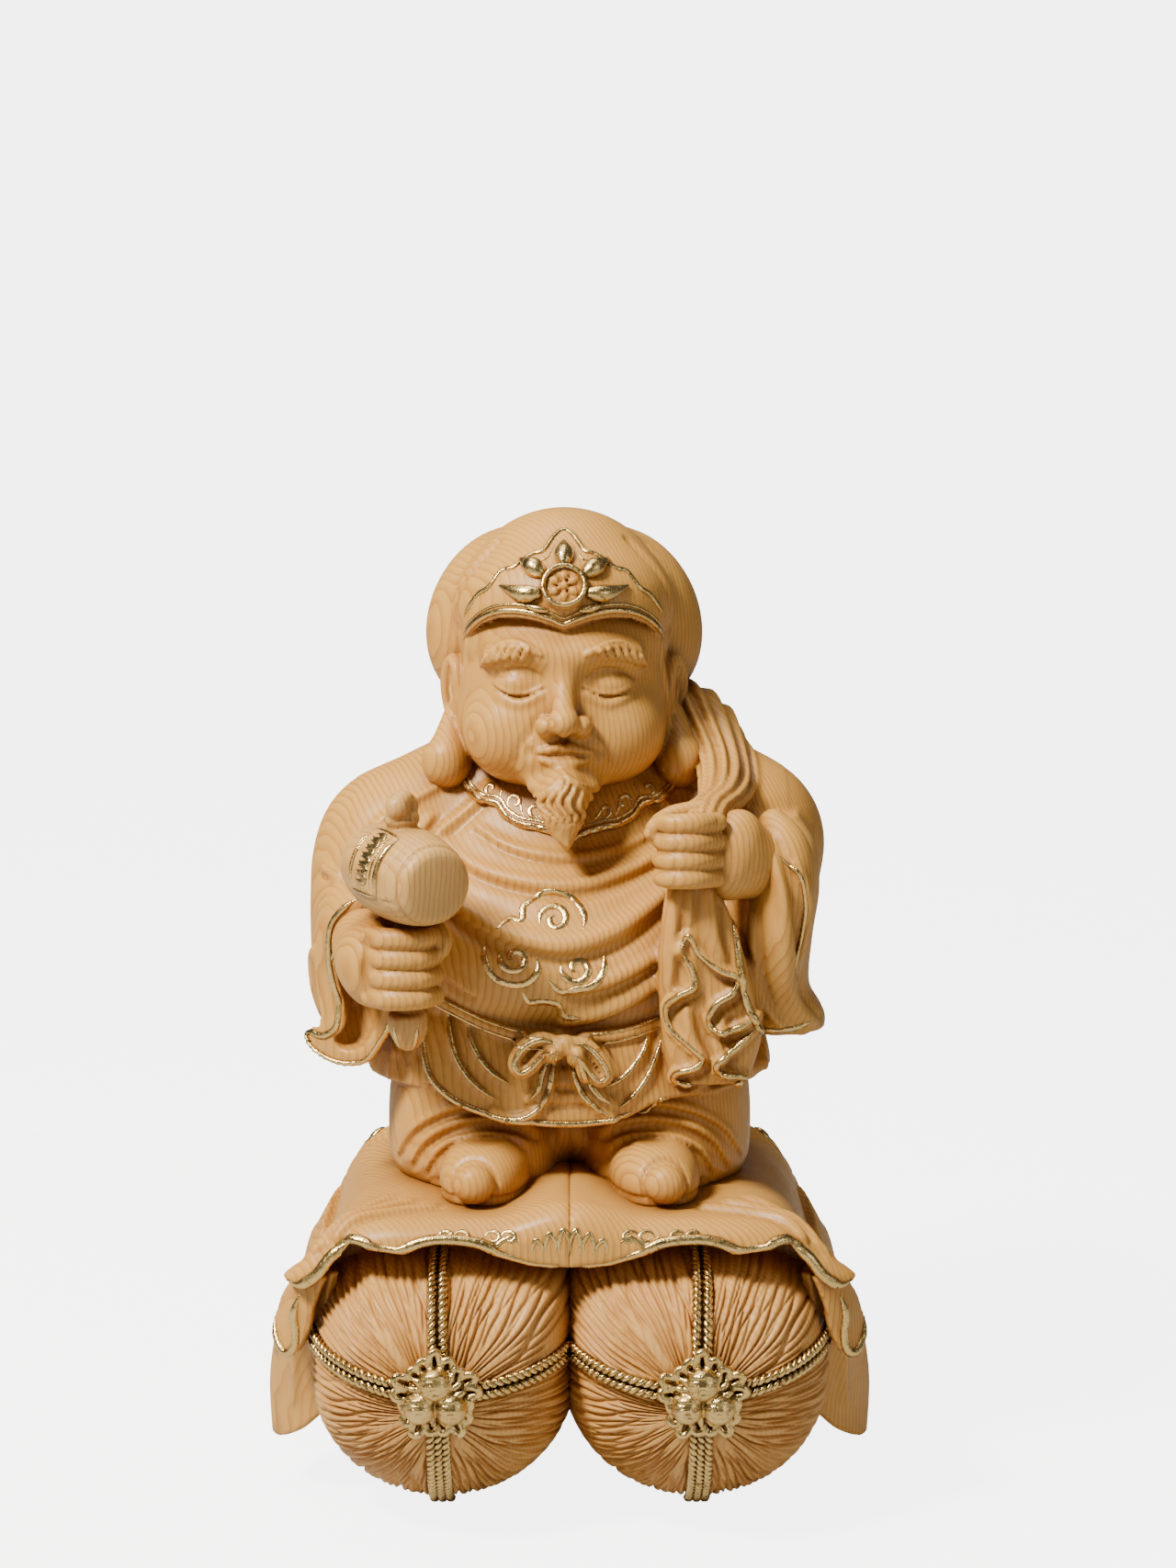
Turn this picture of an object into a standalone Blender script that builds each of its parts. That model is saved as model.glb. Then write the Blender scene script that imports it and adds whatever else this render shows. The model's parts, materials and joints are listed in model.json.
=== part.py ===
"""Carved wooden fortune figure on two rice bales, built as a joined-wood assembly.

Frame: +Z up, the figure faces -Y, +X is the figure's own left, and the origin lies on the floor under the
middle of the base. Every size below is in millimetres and becomes metres where a shape is made. The figure
is laid out about its own upright axis, which stands FIGURE_Y behind the middle of the base.
"""

import math

import bmesh
import bpy
from mathutils import Vector

MM = 0.001
GLUE_GAP = 0.3          # clear space between two fitted blocks
BORE_CLEARANCE = 0.1    # how much wider than its dowel a bore is, in radius
BORE_END_GAP = 0.4      # empty space left past a dowel's end
CUTTER_GROWTH = 0.39    # how far a block is grown to cut its neighbour: the gap, with some to spare
SIDES = {"left": 1, "right": -1}
FAR = 150.0             # beyond every part, for cutters
ROUND_STEPS = 24

# Base: two bales side by side under one cloth, glued up from a left and a right half.
BALE_RADIUS = 29.0
BALE_X = 26.5           # from the centre plane to a bale's axis
BALE_Z = 28.0           # a little under the radius, so that each bale stands on a flat strip
BALE_STRAIGHT = 22.0    # half the length of the straight barrel
BALE_DOME = 31.5        # how far each end bulges
KNOT_RADIUS = 7.5
KNOT_REACH = 59.0       # the knots are the base's front and back ends
CLOTH_TOP = 65.5
CLOTH_HALF = 47.0       # half the cloth's length, front to back
CLOTH_SHOULDER_X = 36.0
CLOTH_OUT = 60.0
CLOTH_THICK = 4.0
SKIRT_X = 59.5          # middle of the hanging side drape's thickness
SKIRT_THICK = 6.0

# Figure: robe blocks, split by two upright side planes and a plane behind.
FIGURE_Y = 13.0
SOLE_Z = CLOTH_TOP + GLUE_GAP
SIDE_PLANE_X = 31.0
BACK_PLANE_Y = 24.0
NECK_SEAT_Z = 142.0

# Mallet, upright in the right fist: the line its handle lies on, and its barrel.
HANDLE_FOOT = Vector((-33.2, -46.3, 102.0))
HANDLE_AXIS = Vector((-0.7, -4.4, 48.0)).normalized()
BARREL_HEADING = math.radians(31.0)  # from straight ahead towards the middle
BARREL_UP = 33.2        # from the handle's foot to the barrel's middle, along the handle
BARREL_RADIUS = 9.8
BARREL_END_RADIUS = 7.6
BARREL_HALF = 14.5
HANDLE_RADIUS = 2.3
TENON_RADIUS = 1.9
TENON_LENGTH = 8.0
POMMEL_RADIUS = 4.0
FINIAL_RADIUS = 3.6
FINIAL_HEIGHT = 6.5

# Pegs and dowels between the blocks.
FOOT_PEG_RADIUS = 3.5
FOOT_PEG_X = 17.0
FOOT_PEG_Y = -30.0
FOOT_PEG_DEPTH = 12.0
FOOT_PEG_RISE = 9.0
NECK_PEG_RADIUS = 7.0
NECK_PEG_HALF = 11.0
DOWEL_RADIUS = 2.5
DOWEL_HALF = 9.0
WRIST_DOWEL_RADIUS = 1.6
WRIST_DOWEL_HALF = 6.0
SACK_DOWEL_X = 3.0
SACK_DOWEL_Z = 112.0

CYPRESS = (0.72, 0.50, 0.29)
CYPRESS_PALE = (0.78, 0.58, 0.36)
BEECH = (0.62, 0.43, 0.26)


# ---- scene and mesh handling -------------------------------------------------------------------------------


def clear_scene():
    for obj in list(bpy.data.objects):
        bpy.data.objects.remove(obj)


def new_collection(name):
    made = bpy.data.collections.new(name)
    bpy.context.scene.collection.children.link(made)
    return made


def wood(name, colour, roughness):
    made = bpy.data.materials.new(name)
    made.use_nodes = True
    shader = made.node_tree.nodes["Principled BSDF"]
    shader.inputs["Base Color"].default_value = (*colour, 1.0)
    shader.inputs["Roughness"].default_value = roughness
    shader.inputs["Metallic"].default_value = 0.0
    return made


def link(obj):
    bpy.context.scene.collection.objects.link(obj)
    return obj


def mesh_object(name, bm):
    mesh = bpy.data.meshes.new(name)
    bm.to_mesh(mesh)
    bm.free()
    return link(bpy.data.objects.new(name, mesh))


def baked(obj):
    """The object with its modifiers and its placing applied, as a welded closed mesh of triangles."""
    bpy.context.view_layer.update()
    graph = bpy.context.evaluated_depsgraph_get()
    mesh = bpy.data.meshes.new_from_object(obj.evaluated_get(graph), depsgraph=graph)
    mesh.transform(obj.matrix_world)
    bm = bmesh.new()
    bm.from_mesh(mesh)
    bmesh.ops.remove_doubles(bm, verts=bm.verts, dist=1e-6)
    bmesh.ops.triangulate(bm, faces=bm.faces)
    bpy.data.meshes.remove(mesh)
    name = obj.name
    bpy.data.objects.remove(obj)
    return mesh_object(name, bm)


def copy_of(obj, name):
    twin = obj.copy()
    twin.data = obj.data.copy()
    twin.name = name
    return link(twin)


def swollen(obj):
    """A copy grown by the glue gap, for cutting a block that fits against this one."""
    twin = copy_of(obj, obj.name + "_clearance")
    grow = twin.modifiers.new("grow", "DISPLACE")
    grow.mid_level = 0.0
    grow.strength = CUTTER_GROWTH * MM
    return baked(twin)


def largest_island(obj):
    """Only the biggest connected piece of the mesh: what a cut leaves loose is dropped."""
    bm = bmesh.new()
    bm.from_mesh(obj.data)
    left = set(bm.verts)
    islands = []
    while left:
        island, edge = set(), {left.pop()}
        while edge:
            island |= edge
            edge = {e.other_vert(v) for v in edge for e in v.link_edges} - island
        left -= island
        islands.append(island)
    keep = max(islands, key=len)
    bmesh.ops.delete(bm, geom=[v for v in bm.verts if v not in keep], context="VERTS")
    bm.to_mesh(obj.data)
    bm.free()
    return obj


# ---- joining and cutting -----------------------------------------------------------------------------------


def combine(obj, other, operation):
    """The two joined, cut or intersected, as a plain mesh. The other object is used up."""
    step = obj.modifiers.new(operation.lower(), "BOOLEAN")
    step.operation = operation
    step.solver = "EXACT"
    step.use_self = True
    step.object = other
    done = baked(obj)
    bpy.data.objects.remove(other)
    return done


def fused(name, pieces, voxel, triangles):
    """Overlapping lumps melted into one soft solid of about that many triangles."""
    bm = bmesh.new()
    for piece in pieces:
        piece.data.transform(piece.matrix_basis)
        bm.from_mesh(piece.data)
        bpy.data.objects.remove(piece)
    soft = mesh_object(name, bm)
    melt = soft.modifiers.new("melt", "REMESH")
    melt.mode = "VOXEL"
    melt.voxel_size = voxel * MM
    soften = soft.modifiers.new("soften", "SMOOTH")
    soften.factor = 0.5
    soften.iterations = 3
    soft = largest_island(baked(soft))
    thin = soft.modifiers.new("thin", "DECIMATE")
    thin.ratio = min(1.0, triangles / (2 * len(soft.data.polygons)))
    return baked(soft)


def keep_between(obj, low, high):
    return combine(obj, block("keep", low, high), "INTERSECT")


def bored(obj, start, end, radius):
    return combine(obj, rod("bore", start, end, radius), "DIFFERENCE")


# ---- shapes ------------------------------------------------------------------------------------------------


def lump(centre, radii, lean=0.0):
    """An ellipsoid. Lean tips its top towards +X, in degrees."""
    bm = bmesh.new()
    bmesh.ops.create_uvsphere(bm, u_segments=20, v_segments=14, radius=MM)
    for vertex in bm.verts:
        vertex.co = Vector(c * r for c, r in zip(vertex.co, radii))
    ball = mesh_object("lump", bm)
    ball.location = Vector(centre) * MM
    ball.rotation_euler[1] = math.radians(lean)
    bpy.context.view_layer.update()
    return ball


def pair(centre, radii, lean=0.0):
    """The same lump on the left and, mirrored, on the right."""
    x, y, z = centre
    return [lump((side * x, y, z), radii, side * lean) for side in SIDES.values()]


def limb(points):
    """A round tube through (x, y, z, radius) points, with closed ends."""
    curve = bpy.data.curves.new("limb", "CURVE")
    curve.dimensions = "3D"
    curve.bevel_depth = MM
    curve.bevel_resolution = 3
    curve.resolution_u = 4
    curve.use_fill_caps = True
    spline = curve.splines.new("BEZIER")
    spline.bezier_points.add(len(points) - 1)
    for knot, (x, y, z, radius) in zip(spline.bezier_points, points):
        knot.co = Vector((x, y, z)) * MM
        knot.radius = radius
        knot.handle_left_type = knot.handle_right_type = "AUTO"
    return baked(link(bpy.data.objects.new("limb", curve)))


def rod(name, start, end, radius):
    """A closed cylinder from start to end, its origin in its middle."""
    start, end = Vector(start) * MM, Vector(end) * MM
    bm = bmesh.new()
    bmesh.ops.create_cone(bm, cap_ends=True, segments=ROUND_STEPS, radius1=radius * MM, radius2=radius * MM,
                          depth=(end - start).length)
    obj = mesh_object(name, bm)
    obj.rotation_mode = "QUATERNION"
    obj.rotation_quaternion = (end - start).to_track_quat("Z", "Y")
    obj.location = (start + end) / 2
    return obj


def block(name, low, high):
    """A box between two corners."""
    bm = bmesh.new()
    bmesh.ops.create_cube(bm, size=1.0)
    for vertex in bm.verts:
        vertex.co = Vector((lo + (c + 0.5) * (hi - lo)) * MM for c, lo, hi in zip(vertex.co, low, high))
    return mesh_object(name, bm)


def turned(name, profile, origin, axis):
    """A solid turned from (radius, height) points that run down its outer side, stood along axis at origin."""
    bm = bmesh.new()
    chain = [bm.verts.new((radius * MM, 0, height * MM)) for radius, height in profile]
    for above, below in zip(chain, chain[1:]):
        bm.edges.new((above, below))
    obj = mesh_object(name, bm)
    screw = obj.modifiers.new("turn", "SCREW")
    screw.steps = screw.render_steps = ROUND_STEPS
    screw.use_merge_vertices = True
    screw.merge_threshold = 1e-6
    obj.rotation_mode = "QUATERNION"
    obj.rotation_quaternion = Vector(axis).to_track_quat("Z", "Y")
    obj.location = Vector(origin) * MM
    return baked(obj)


def slab(name, outline, thickness, centre, facing):
    """A flat outline of (across, up) points standing upright, given a thickness along facing, X or Y."""
    curve = bpy.data.curves.new(name, "CURVE")
    curve.dimensions = "2D"
    curve.fill_mode = "BOTH"
    curve.extrude = thickness / 2 * MM
    spline = curve.splines.new("POLY")
    spline.points.add(len(outline) - 1)
    for point, (across, up) in zip(spline.points, outline):
        point.co = (across * MM, up * MM, 0, 1)
    spline.use_cyclic_u = True
    obj = link(bpy.data.objects.new(name, curve))
    obj.rotation_euler = (math.pi / 2, 0, math.pi / 2 if facing == "X" else 0.0)
    obj.location = Vector(centre) * MM
    return baked(obj)


def arc(centre, radii, start, end, steps):
    """Points along an ellipse's arc, between two angles in degrees."""
    angles = [math.radians(start + (end - start) * i / steps) for i in range(steps + 1)]
    return [(centre[0] + radii[0] * math.cos(a), centre[1] + radii[1] * math.sin(a)) for a in angles]


# ---- base --------------------------------------------------------------------------------------------------


def bale_profile():
    """Half a bale's outline as (radius, height): knot, bulging end and straight side, mirrored for the other."""
    knot = [(0, KNOT_REACH), (KNOT_RADIUS * 0.6, KNOT_REACH - 1), (KNOT_RADIUS, KNOT_REACH - 4)]
    dome = [(r, h) for h, r in arc((BALE_STRAIGHT, 0), (BALE_DOME, BALE_RADIUS), 16, 90, 7)]
    upper = knot + dome
    return upper + [(r, -h) for r, h in reversed(upper)]


def cloth_section(side):
    """The cloth's section across the base, from the centre plane over one bale to its side."""
    outer_radii = (CLOTH_OUT - CLOTH_SHOULDER_X, CLOTH_TOP - BALE_Z)
    inner_radii = (CLOTH_OUT - CLOTH_THICK - CLOTH_SHOULDER_X, CLOTH_TOP - 2 * CLOTH_THICK - BALE_Z)
    outer = arc((CLOTH_SHOULDER_X, BALE_Z), outer_radii, 86, 0, 9)
    inner = arc((CLOTH_SHOULDER_X, BALE_Z), inner_radii, 0, 90, 7)
    foot_of_seam = (0, BALE_Z + BALE_RADIUS / 2)
    return [(side * x, z) for x, z in [(0, CLOTH_TOP), *outer, *inner, foot_of_seam]]


def drape_outline():
    """The cloth's hanging side as (y, z) points: a long tail under each corner and a raised middle."""
    front = -CLOTH_HALF + 8
    tail = [(front, 44), (front + 5, 28), (front + 12, 10), (front + 19, 3), (front + 26, 8), (front + 34, 24)]
    return [*tail, (0, 28), *[(-y, z) for y, z in reversed(tail)], (-front - 4, 50), (front + 4, 50)]


def base_dowel_places():
    return {"front": -26.0, "rear": 26.0}


def foot_peg_place(side):
    return (side * FOOT_PEG_X, FOOT_PEG_Y)


def base_half(label, side):
    bale_axis = (side * BALE_X, 0, BALE_Z)
    half = turned(f"base_{label}_half", bale_profile(), bale_axis, (0, 1, 0))
    cloth = slab("cloth", cloth_section(side), 2 * CLOTH_HALF, (0, 0, 0), "Y")
    half = combine(half, cloth, "UNION")
    drape = slab("drape", drape_outline(), SKIRT_THICK, (side * SKIRT_X, 0, 0), "X")
    half = combine(half, drape, "UNION")
    low_x, high_x = sorted((side * GLUE_GAP / 2, side * FAR))
    half = keep_between(half, (low_x, -FAR, 0), (high_x, FAR, FAR))
    for y in base_dowel_places().values():
        inner, outer = (0, y, BALE_Z), (side * (DOWEL_HALF + BORE_END_GAP), y, BALE_Z)
        half = bored(half, inner, outer, DOWEL_RADIUS + BORE_CLEARANCE)
    x, y = foot_peg_place(side)
    bottom = CLOTH_TOP - FOOT_PEG_DEPTH - BORE_END_GAP
    socket = (x, y + FIGURE_Y, bottom), (x, y + FIGURE_Y, CLOTH_TOP + 1)
    return bored(half, *socket, FOOT_PEG_RADIUS + BORE_CLEARANCE)


# ---- figure's lumps ----------------------------------------------------------------------------------------


def robe_lumps():
    """The clothed body with its sleeves and the neck of the sack, as overlapping soft lumps."""
    trousers = [lump((0, -5, 78), (39, 31, 17)), *pair((19, -8, 73), (20.5, 27, 14))]
    shoes = pair((17, -40, 70), (9.2, 14, 9))
    skirt = [lump((0, -4, 94), (43, 34, 16)), lump((0, -5, 104), (40, 33, 22))]
    belly = [lump((0, -7, 114), (37, 32.5, 24))]
    chest = [lump((0, 1, 130), (42, 28, 22)), lump((0, 3, 139), (28, 21, 12))]
    shoulders = pair((34, 2, 133), (20, 21, 22), 8) + pair((41, -2, 124), (14, 19, 19))
    sleeves = pair((43, -14, 112), (10.5, 18, 16), -6) + pair((45.5, -17, 101), (8.5, 13, 6.5), 28)
    forearms = [limb([(-44, -8, 118, 12), (-42, -24, 117, 10), (-40, -34, 116, 7)]),
                limb([(45, -6, 127, 13), (41, -22, 131, 10.5), (37, -33, 135, 7.5)])]
    neck = [limb([(18, 20, 148, 9), (30, 8, 158, 9.5), (32, -12, 157, 8.5), (29, -30, 149, 6.5)])]
    tail = [limb([(28, -37, 124, 5.5), (27, -36, 110, 7), (30, -36, 98, 9), (31, -35, 91, 9.5)])]
    return trousers + shoes + skirt + belly + chest + shoulders + sleeves + forearms + neck + tail


def fist_lumps(centre, height, side):
    """A closed hand: a palm, four curled fingers one above another, and a thumb laid over the top.

    Side is +1 where the back of the hand faces the figure's left."""
    x, y, z = centre
    pitch = height / 4
    thick = pitch * 0.62
    pieces = [lump((x + side * 4.5, y + 1, z), (6.5, 7, height / 2))]
    for row in range(4):
        level = z + (row - 1.5) * pitch
        pieces.append(limb([(x + side * 6, y - 3, level, thick), (x, y - 6.2, level, thick),
                            (x - side * 6, y - 3, level, thick), (x - side * 6, y + 3, level, thick)]))
        pieces.append(limb([(x + side * 4, y, level, thick + 1), (x - side * 4, y, level, thick + 1)]))
    top = z + height / 2 - 1
    pieces.append(limb([(x + side * 4, y + 5, top - 2, 3), (x - side * 5, y + 3, top - 1.5, 2.4)]))
    return pieces


def head_lumps():
    face = [lump((0, -6, 166), (23.5, 23.5, 20)), lump((0, -9, 158), (20.5, 19, 13)), lump((0, -28, 166), (4, 4, 5))]
    neck = [limb([(0, 0, 136, 14), (0, 0, 158, 15)])]
    cap = [lump((0, -1, 184), (20, 21, 24)), lump((0, -4, 180), (23, 23, 9))]
    bag = [*pair((17, 13, 178), (15, 15, 19), -14), lump((0, 18, 178), (22, 15, 21))]
    ears = pair((24, -3, 168), (3, 4.5, 10), 4) + pair((25.3, -8, 155), (5.3, 5.4, 6.5), 6)
    beard = [limb([(0, -27, 150, 4.5), (0, -32, 144, 3.6), (0.5, -34, 138, 1.8)])]
    return face + neck + cap + bag + ears + beard


def sack_lumps():
    full = [lump((3, 26, 112), (29, 19, 28)), lump((8, 25, 134), (20, 15, 18))]
    return full + [lump((15, 24, 149), (11, 9, 10))]


# ---- figure's blocks ---------------------------------------------------------------------------------------


def side_dowel_places():
    """(y, z) of the two dowels that pin each side block to the core."""
    return {"upper": (2.0, 132.0), "lower": (-6.0, 94.0)}


def side_dowel(side, place, half):
    y, z = place
    return (side * (SIDE_PLANE_X - half), y, z), (side * (SIDE_PLANE_X + half), y, z)


def sack_dowel(half):
    return (SACK_DOWEL_X, BACK_PLANE_Y - half, SACK_DOWEL_Z), (SACK_DOWEL_X, BACK_PLANE_Y + half, SACK_DOWEL_Z)


def wrist_dowel(side, half):
    """A dowel along the forearm, half in the sleeve and half in the hand."""
    middle, reach = {1: (Vector((36.0, -36.5, 135.5)), Vector((0.55, 0.8, -0.2))),
                     -1: (Vector((-39.5, -38.0, 116.0)), Vector((-0.25, 0.95, 0.0)))}[side]
    step = reach.normalized() * half
    return middle - step, middle + step


def robe_mass(head):
    """The whole robe with a socket for the neck and a seat cut to the head's own shape."""
    mass = fused("robe", robe_lumps(), 2.2, 4300)
    mass = keep_between(mass, (-FAR, -FAR, SOLE_Z), (FAR, FAR, 2 * FAR))
    mass = combine(mass, swollen(head), "DIFFERENCE")
    bottom = NECK_SEAT_Z - NECK_PEG_HALF - BORE_END_GAP
    mass = bored(mass, (0, 0, bottom), (0, 0, NECK_SEAT_Z), NECK_PEG_RADIUS + BORE_CLEARANCE)
    return largest_island(mass)


def robe_blocks(mass):
    """The robe sawn into its core and two side blocks, each bored for its dowels."""
    core_half = SIDE_PLANE_X - GLUE_GAP
    blocks = {"core": copy_of(mass, "robe_core")}
    blocks["core"] = keep_between(blocks["core"], (-core_half, -FAR, 0), (core_half, BACK_PLANE_Y, 2 * FAR))
    for label, side in SIDES.items():
        low_x, high_x = sorted((side * SIDE_PLANE_X, side * FAR))
        flank = copy_of(mass, f"robe_{label}_side")
        flank = keep_between(flank, (low_x, -FAR, 0), (high_x, BACK_PLANE_Y, 2 * FAR))
        for place in side_dowel_places().values():
            ends = side_dowel(side, place, DOWEL_HALF + BORE_END_GAP)
            flank = bored(flank, *ends, DOWEL_RADIUS + BORE_CLEARANCE)
            blocks["core"] = bored(blocks["core"], *ends, DOWEL_RADIUS + BORE_CLEARANCE)
        ends = wrist_dowel(side, WRIST_DOWEL_HALF + BORE_END_GAP)
        flank = bored(flank, *ends, WRIST_DOWEL_RADIUS + BORE_CLEARANCE)
        blocks[label] = largest_island(flank)
    blocks["core"] = bored(blocks["core"], *sack_dowel(DOWEL_HALF + BORE_END_GAP), DOWEL_RADIUS + BORE_CLEARANCE)
    for side in SIDES.values():
        x, y = foot_peg_place(side)
        top = SOLE_Z + FOOT_PEG_RISE + BORE_END_GAP
        blocks["core"] = bored(blocks["core"], (x, y, 0), (x, y, top), FOOT_PEG_RADIUS + BORE_CLEARANCE)
    blocks["core"] = largest_island(blocks["core"])
    return blocks


def head_block():
    head = fused("head", head_lumps(), 1.7, 2600)
    head = keep_between(head, (-FAR, -FAR, 0), (FAR, FAR, 2 * FAR))
    seat = rod("seat", (0, 0, 0), (0, 0, NECK_SEAT_Z), 18)
    head = combine(head, seat, "DIFFERENCE")
    top = NECK_SEAT_Z + NECK_PEG_HALF + BORE_END_GAP
    return bored(head, (0, 0, NECK_SEAT_Z - 1), (0, 0, top), NECK_PEG_RADIUS + BORE_CLEARANCE)


def sack_block(mass, head):
    sack = fused("sack", sack_lumps(), 2.2, 800)
    sack = keep_between(sack, (-FAR, BACK_PLANE_Y + GLUE_GAP, 0), (FAR, FAR, 2 * FAR))
    sack = combine(sack, swollen(head), "DIFFERENCE")
    sack = bored(sack, *sack_dowel(DOWEL_HALF + BORE_END_GAP), DOWEL_RADIUS + BORE_CLEARANCE)
    return largest_island(sack)


def hand_block(label, side, centre, height, robe):
    hand = fused(f"{label}_hand", fist_lumps(centre, height, side), 1.0, 900)
    hand = combine(hand, swollen(robe), "DIFFERENCE")
    ends = wrist_dowel(side, WRIST_DOWEL_HALF + BORE_END_GAP)
    return bored(hand, *ends, WRIST_DOWEL_RADIUS + BORE_CLEARANCE)


# ---- mallet ------------------------------------------------------------------------------------------------


def along_handle(distance):
    return HANDLE_FOOT + HANDLE_AXIS * distance


def barrel_axis():
    """The barrel's own direction: its heading, tipped to stand square to the handle."""
    ahead = Vector((math.sin(BARREL_HEADING), -math.cos(BARREL_HEADING), 0))
    return (ahead - HANDLE_AXIS * ahead.dot(HANDLE_AXIS)).normalized()


def seat_height():
    """How far up the handle its shoulder stands, where the barrel rests with its flattened underside."""
    return BARREL_UP - BARREL_RADIUS + 0.8


def mallet_handle():
    """The handle with its pommel below the fist, a shoulder under the barrel and a tenon on top."""
    seat = seat_height() - GLUE_GAP
    profile = [(0, seat + TENON_LENGTH), (TENON_RADIUS, seat + TENON_LENGTH), (TENON_RADIUS, seat),
               (HANDLE_RADIUS, seat), (HANDLE_RADIUS, 3), (POMMEL_RADIUS, 1), (POMMEL_RADIUS, -2),
               (POMMEL_RADIUS * 0.6, -5), (0, -6)]
    return turned("mallet_handle", profile, HANDLE_FOOT, HANDLE_AXIS)


def mallet_barrel():
    centre = along_handle(BARREL_UP)
    half = [(0, BARREL_HALF), (BARREL_END_RADIUS, BARREL_HALF), (BARREL_END_RADIUS + 1, BARREL_HALF - 1.5),
            (BARREL_RADIUS - 0.6, 6), (BARREL_RADIUS, 3)]
    profile = half + [(r, -h) for r, h in reversed(half)]
    barrel = turned("mallet_barrel", profile, centre, barrel_axis())
    under = rod("under", along_handle(0), along_handle(seat_height()), 7)
    barrel = combine(barrel, under, "DIFFERENCE")
    bore = along_handle(0), along_handle(seat_height() + TENON_LENGTH + BORE_END_GAP)
    barrel = bored(barrel, *bore, TENON_RADIUS + BORE_CLEARANCE)
    top = BARREL_UP + BARREL_RADIUS
    return combine(barrel, rod("flat", along_handle(top - 0.8), along_handle(top + 9), 7), "DIFFERENCE")


def mallet_finial():
    foot = BARREL_UP + BARREL_RADIUS - 0.8 + GLUE_GAP
    profile = [(0, FINIAL_HEIGHT), (1.4, FINIAL_HEIGHT - 0.8), (FINIAL_RADIUS, 3.5), (FINIAL_RADIUS - 0.8, 0), (0, 0)]
    return turned("mallet_finial", profile, along_handle(foot), HANDLE_AXIS)


# ---- whole object ------------------------------------------------------------------------------------------


def rehomed(obj, origin):
    """The object's own origin moved to a point, with its surface left where it is."""
    shift = Vector(origin) * MM - obj.location
    obj.data.transform(obj.matrix_basis.to_3x3().to_4x4())
    obj.rotation_mode = "XYZ"
    obj.rotation_euler = (0, 0, 0)
    for vertex in obj.data.vertices:
        vertex.co -= shift
    obj.location = Vector(origin) * MM
    return obj


def finish(obj, target, look, parent=None):
    """One node: in its collection, with its material, shaded smooth except at its sharp edges."""
    obj.data.materials.clear()
    obj.data.materials.append(look)
    obj.data.shade_smooth()
    obj.data.set_sharp_from_angle(angle=math.radians(35))
    bpy.context.scene.collection.objects.unlink(obj)
    target.objects.link(obj)
    obj.parent = parent


def figure_axis(target):
    """An empty on the figure's own upright axis, which all of the figure and its mallet hang from."""
    axis = bpy.data.objects.new("figure_axis", None)
    axis.location = (0, FIGURE_Y * MM, 0)
    target.objects.link(axis)
    return axis


def figure_pegs():
    """Every dowel and peg inside the figure."""
    pegs = []
    for label, side in SIDES.items():
        for level, place in side_dowel_places().items():
            pegs.append(rod(f"side_dowel_{label}_{level}", *side_dowel(side, place, DOWEL_HALF), DOWEL_RADIUS))
        pegs.append(rod(f"wrist_dowel_{label}", *wrist_dowel(side, WRIST_DOWEL_HALF), WRIST_DOWEL_RADIUS))
        x, y = foot_peg_place(side)
        ends = (x, y, CLOTH_TOP - FOOT_PEG_DEPTH), (x, y, SOLE_Z + FOOT_PEG_RISE)
        pegs.append(rod(f"foot_peg_{label}", *ends, FOOT_PEG_RADIUS))
    pegs.append(rod("sack_dowel", *sack_dowel(DOWEL_HALF), DOWEL_RADIUS))
    ends = (0, 0, NECK_SEAT_Z - NECK_PEG_HALF), (0, 0, NECK_SEAT_Z + NECK_PEG_HALF)
    pegs.append(rod("neck_peg", *ends, NECK_PEG_RADIUS))
    return pegs


def build_base(target, carving, peg_wood):
    for label, side in SIDES.items():
        finish(base_half(label, side), target, carving)
    for label, y in base_dowel_places().items():
        dowel = rod(f"base_dowel_{label}", (-DOWEL_HALF, y, BALE_Z), (DOWEL_HALF, y, BALE_Z), DOWEL_RADIUS)
        finish(dowel, target, peg_wood)


def build_figure(target, axis, carving, peg_wood):
    head = head_block()
    mass = robe_mass(head)
    blocks = robe_blocks(mass)
    right_hand = hand_block("right", -1, (-33.0, -47.5, 115.4), 16.4, mass)
    grip = along_handle(-2), along_handle(BARREL_UP)
    right_hand = bored(right_hand, *grip, HANDLE_RADIUS + BORE_CLEARANCE)
    left_hand = hand_block("left", 1, (27.5, -42.5, 137.5), 17.0, mass)
    sack = sack_block(mass, head)
    bpy.data.objects.remove(mass)
    for obj in [*blocks.values(), head, sack, largest_island(right_hand), largest_island(left_hand)]:
        finish(obj, target, carving, axis)
    for peg in figure_pegs():
        finish(peg, target, peg_wood, axis)


def build_mallet(target, axis, carving):
    for piece in (mallet_handle(), mallet_barrel(), mallet_finial()):
        finish(rehomed(piece, HANDLE_FOOT), target, carving, axis)


def main():
    clear_scene()
    target = new_collection("carved_figure")
    carving = wood("cypress", CYPRESS, 0.45)
    pale = wood("cypress_pale", CYPRESS_PALE, 0.4)
    peg_wood = wood("beech_peg", BEECH, 0.6)
    axis = figure_axis(target)
    build_base(target, carving, peg_wood)
    build_figure(target, axis, carving, peg_wood)
    build_mallet(target, axis, pale)


main()
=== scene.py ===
"""The looks of a carved cypress fortune figure on two rice bales, with gold line painting.

Every carved block is modelled as clay: a grid of signed distances in millimetres, built up and cut back with
lumps, lofts and strokes, then turned into a mesh. Gold lines are thin beads laid on that surface. Places
are (x, y, z) in millimetres: x grows to the figure's left, -y is the front and z is up. The figure is
described about its own upright axis, and placed by the frame's neck peg.
"""

import json
import math

import bpy
import numpy as np
import openvdb
from mathutils import Euler, Matrix, Vector


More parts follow.
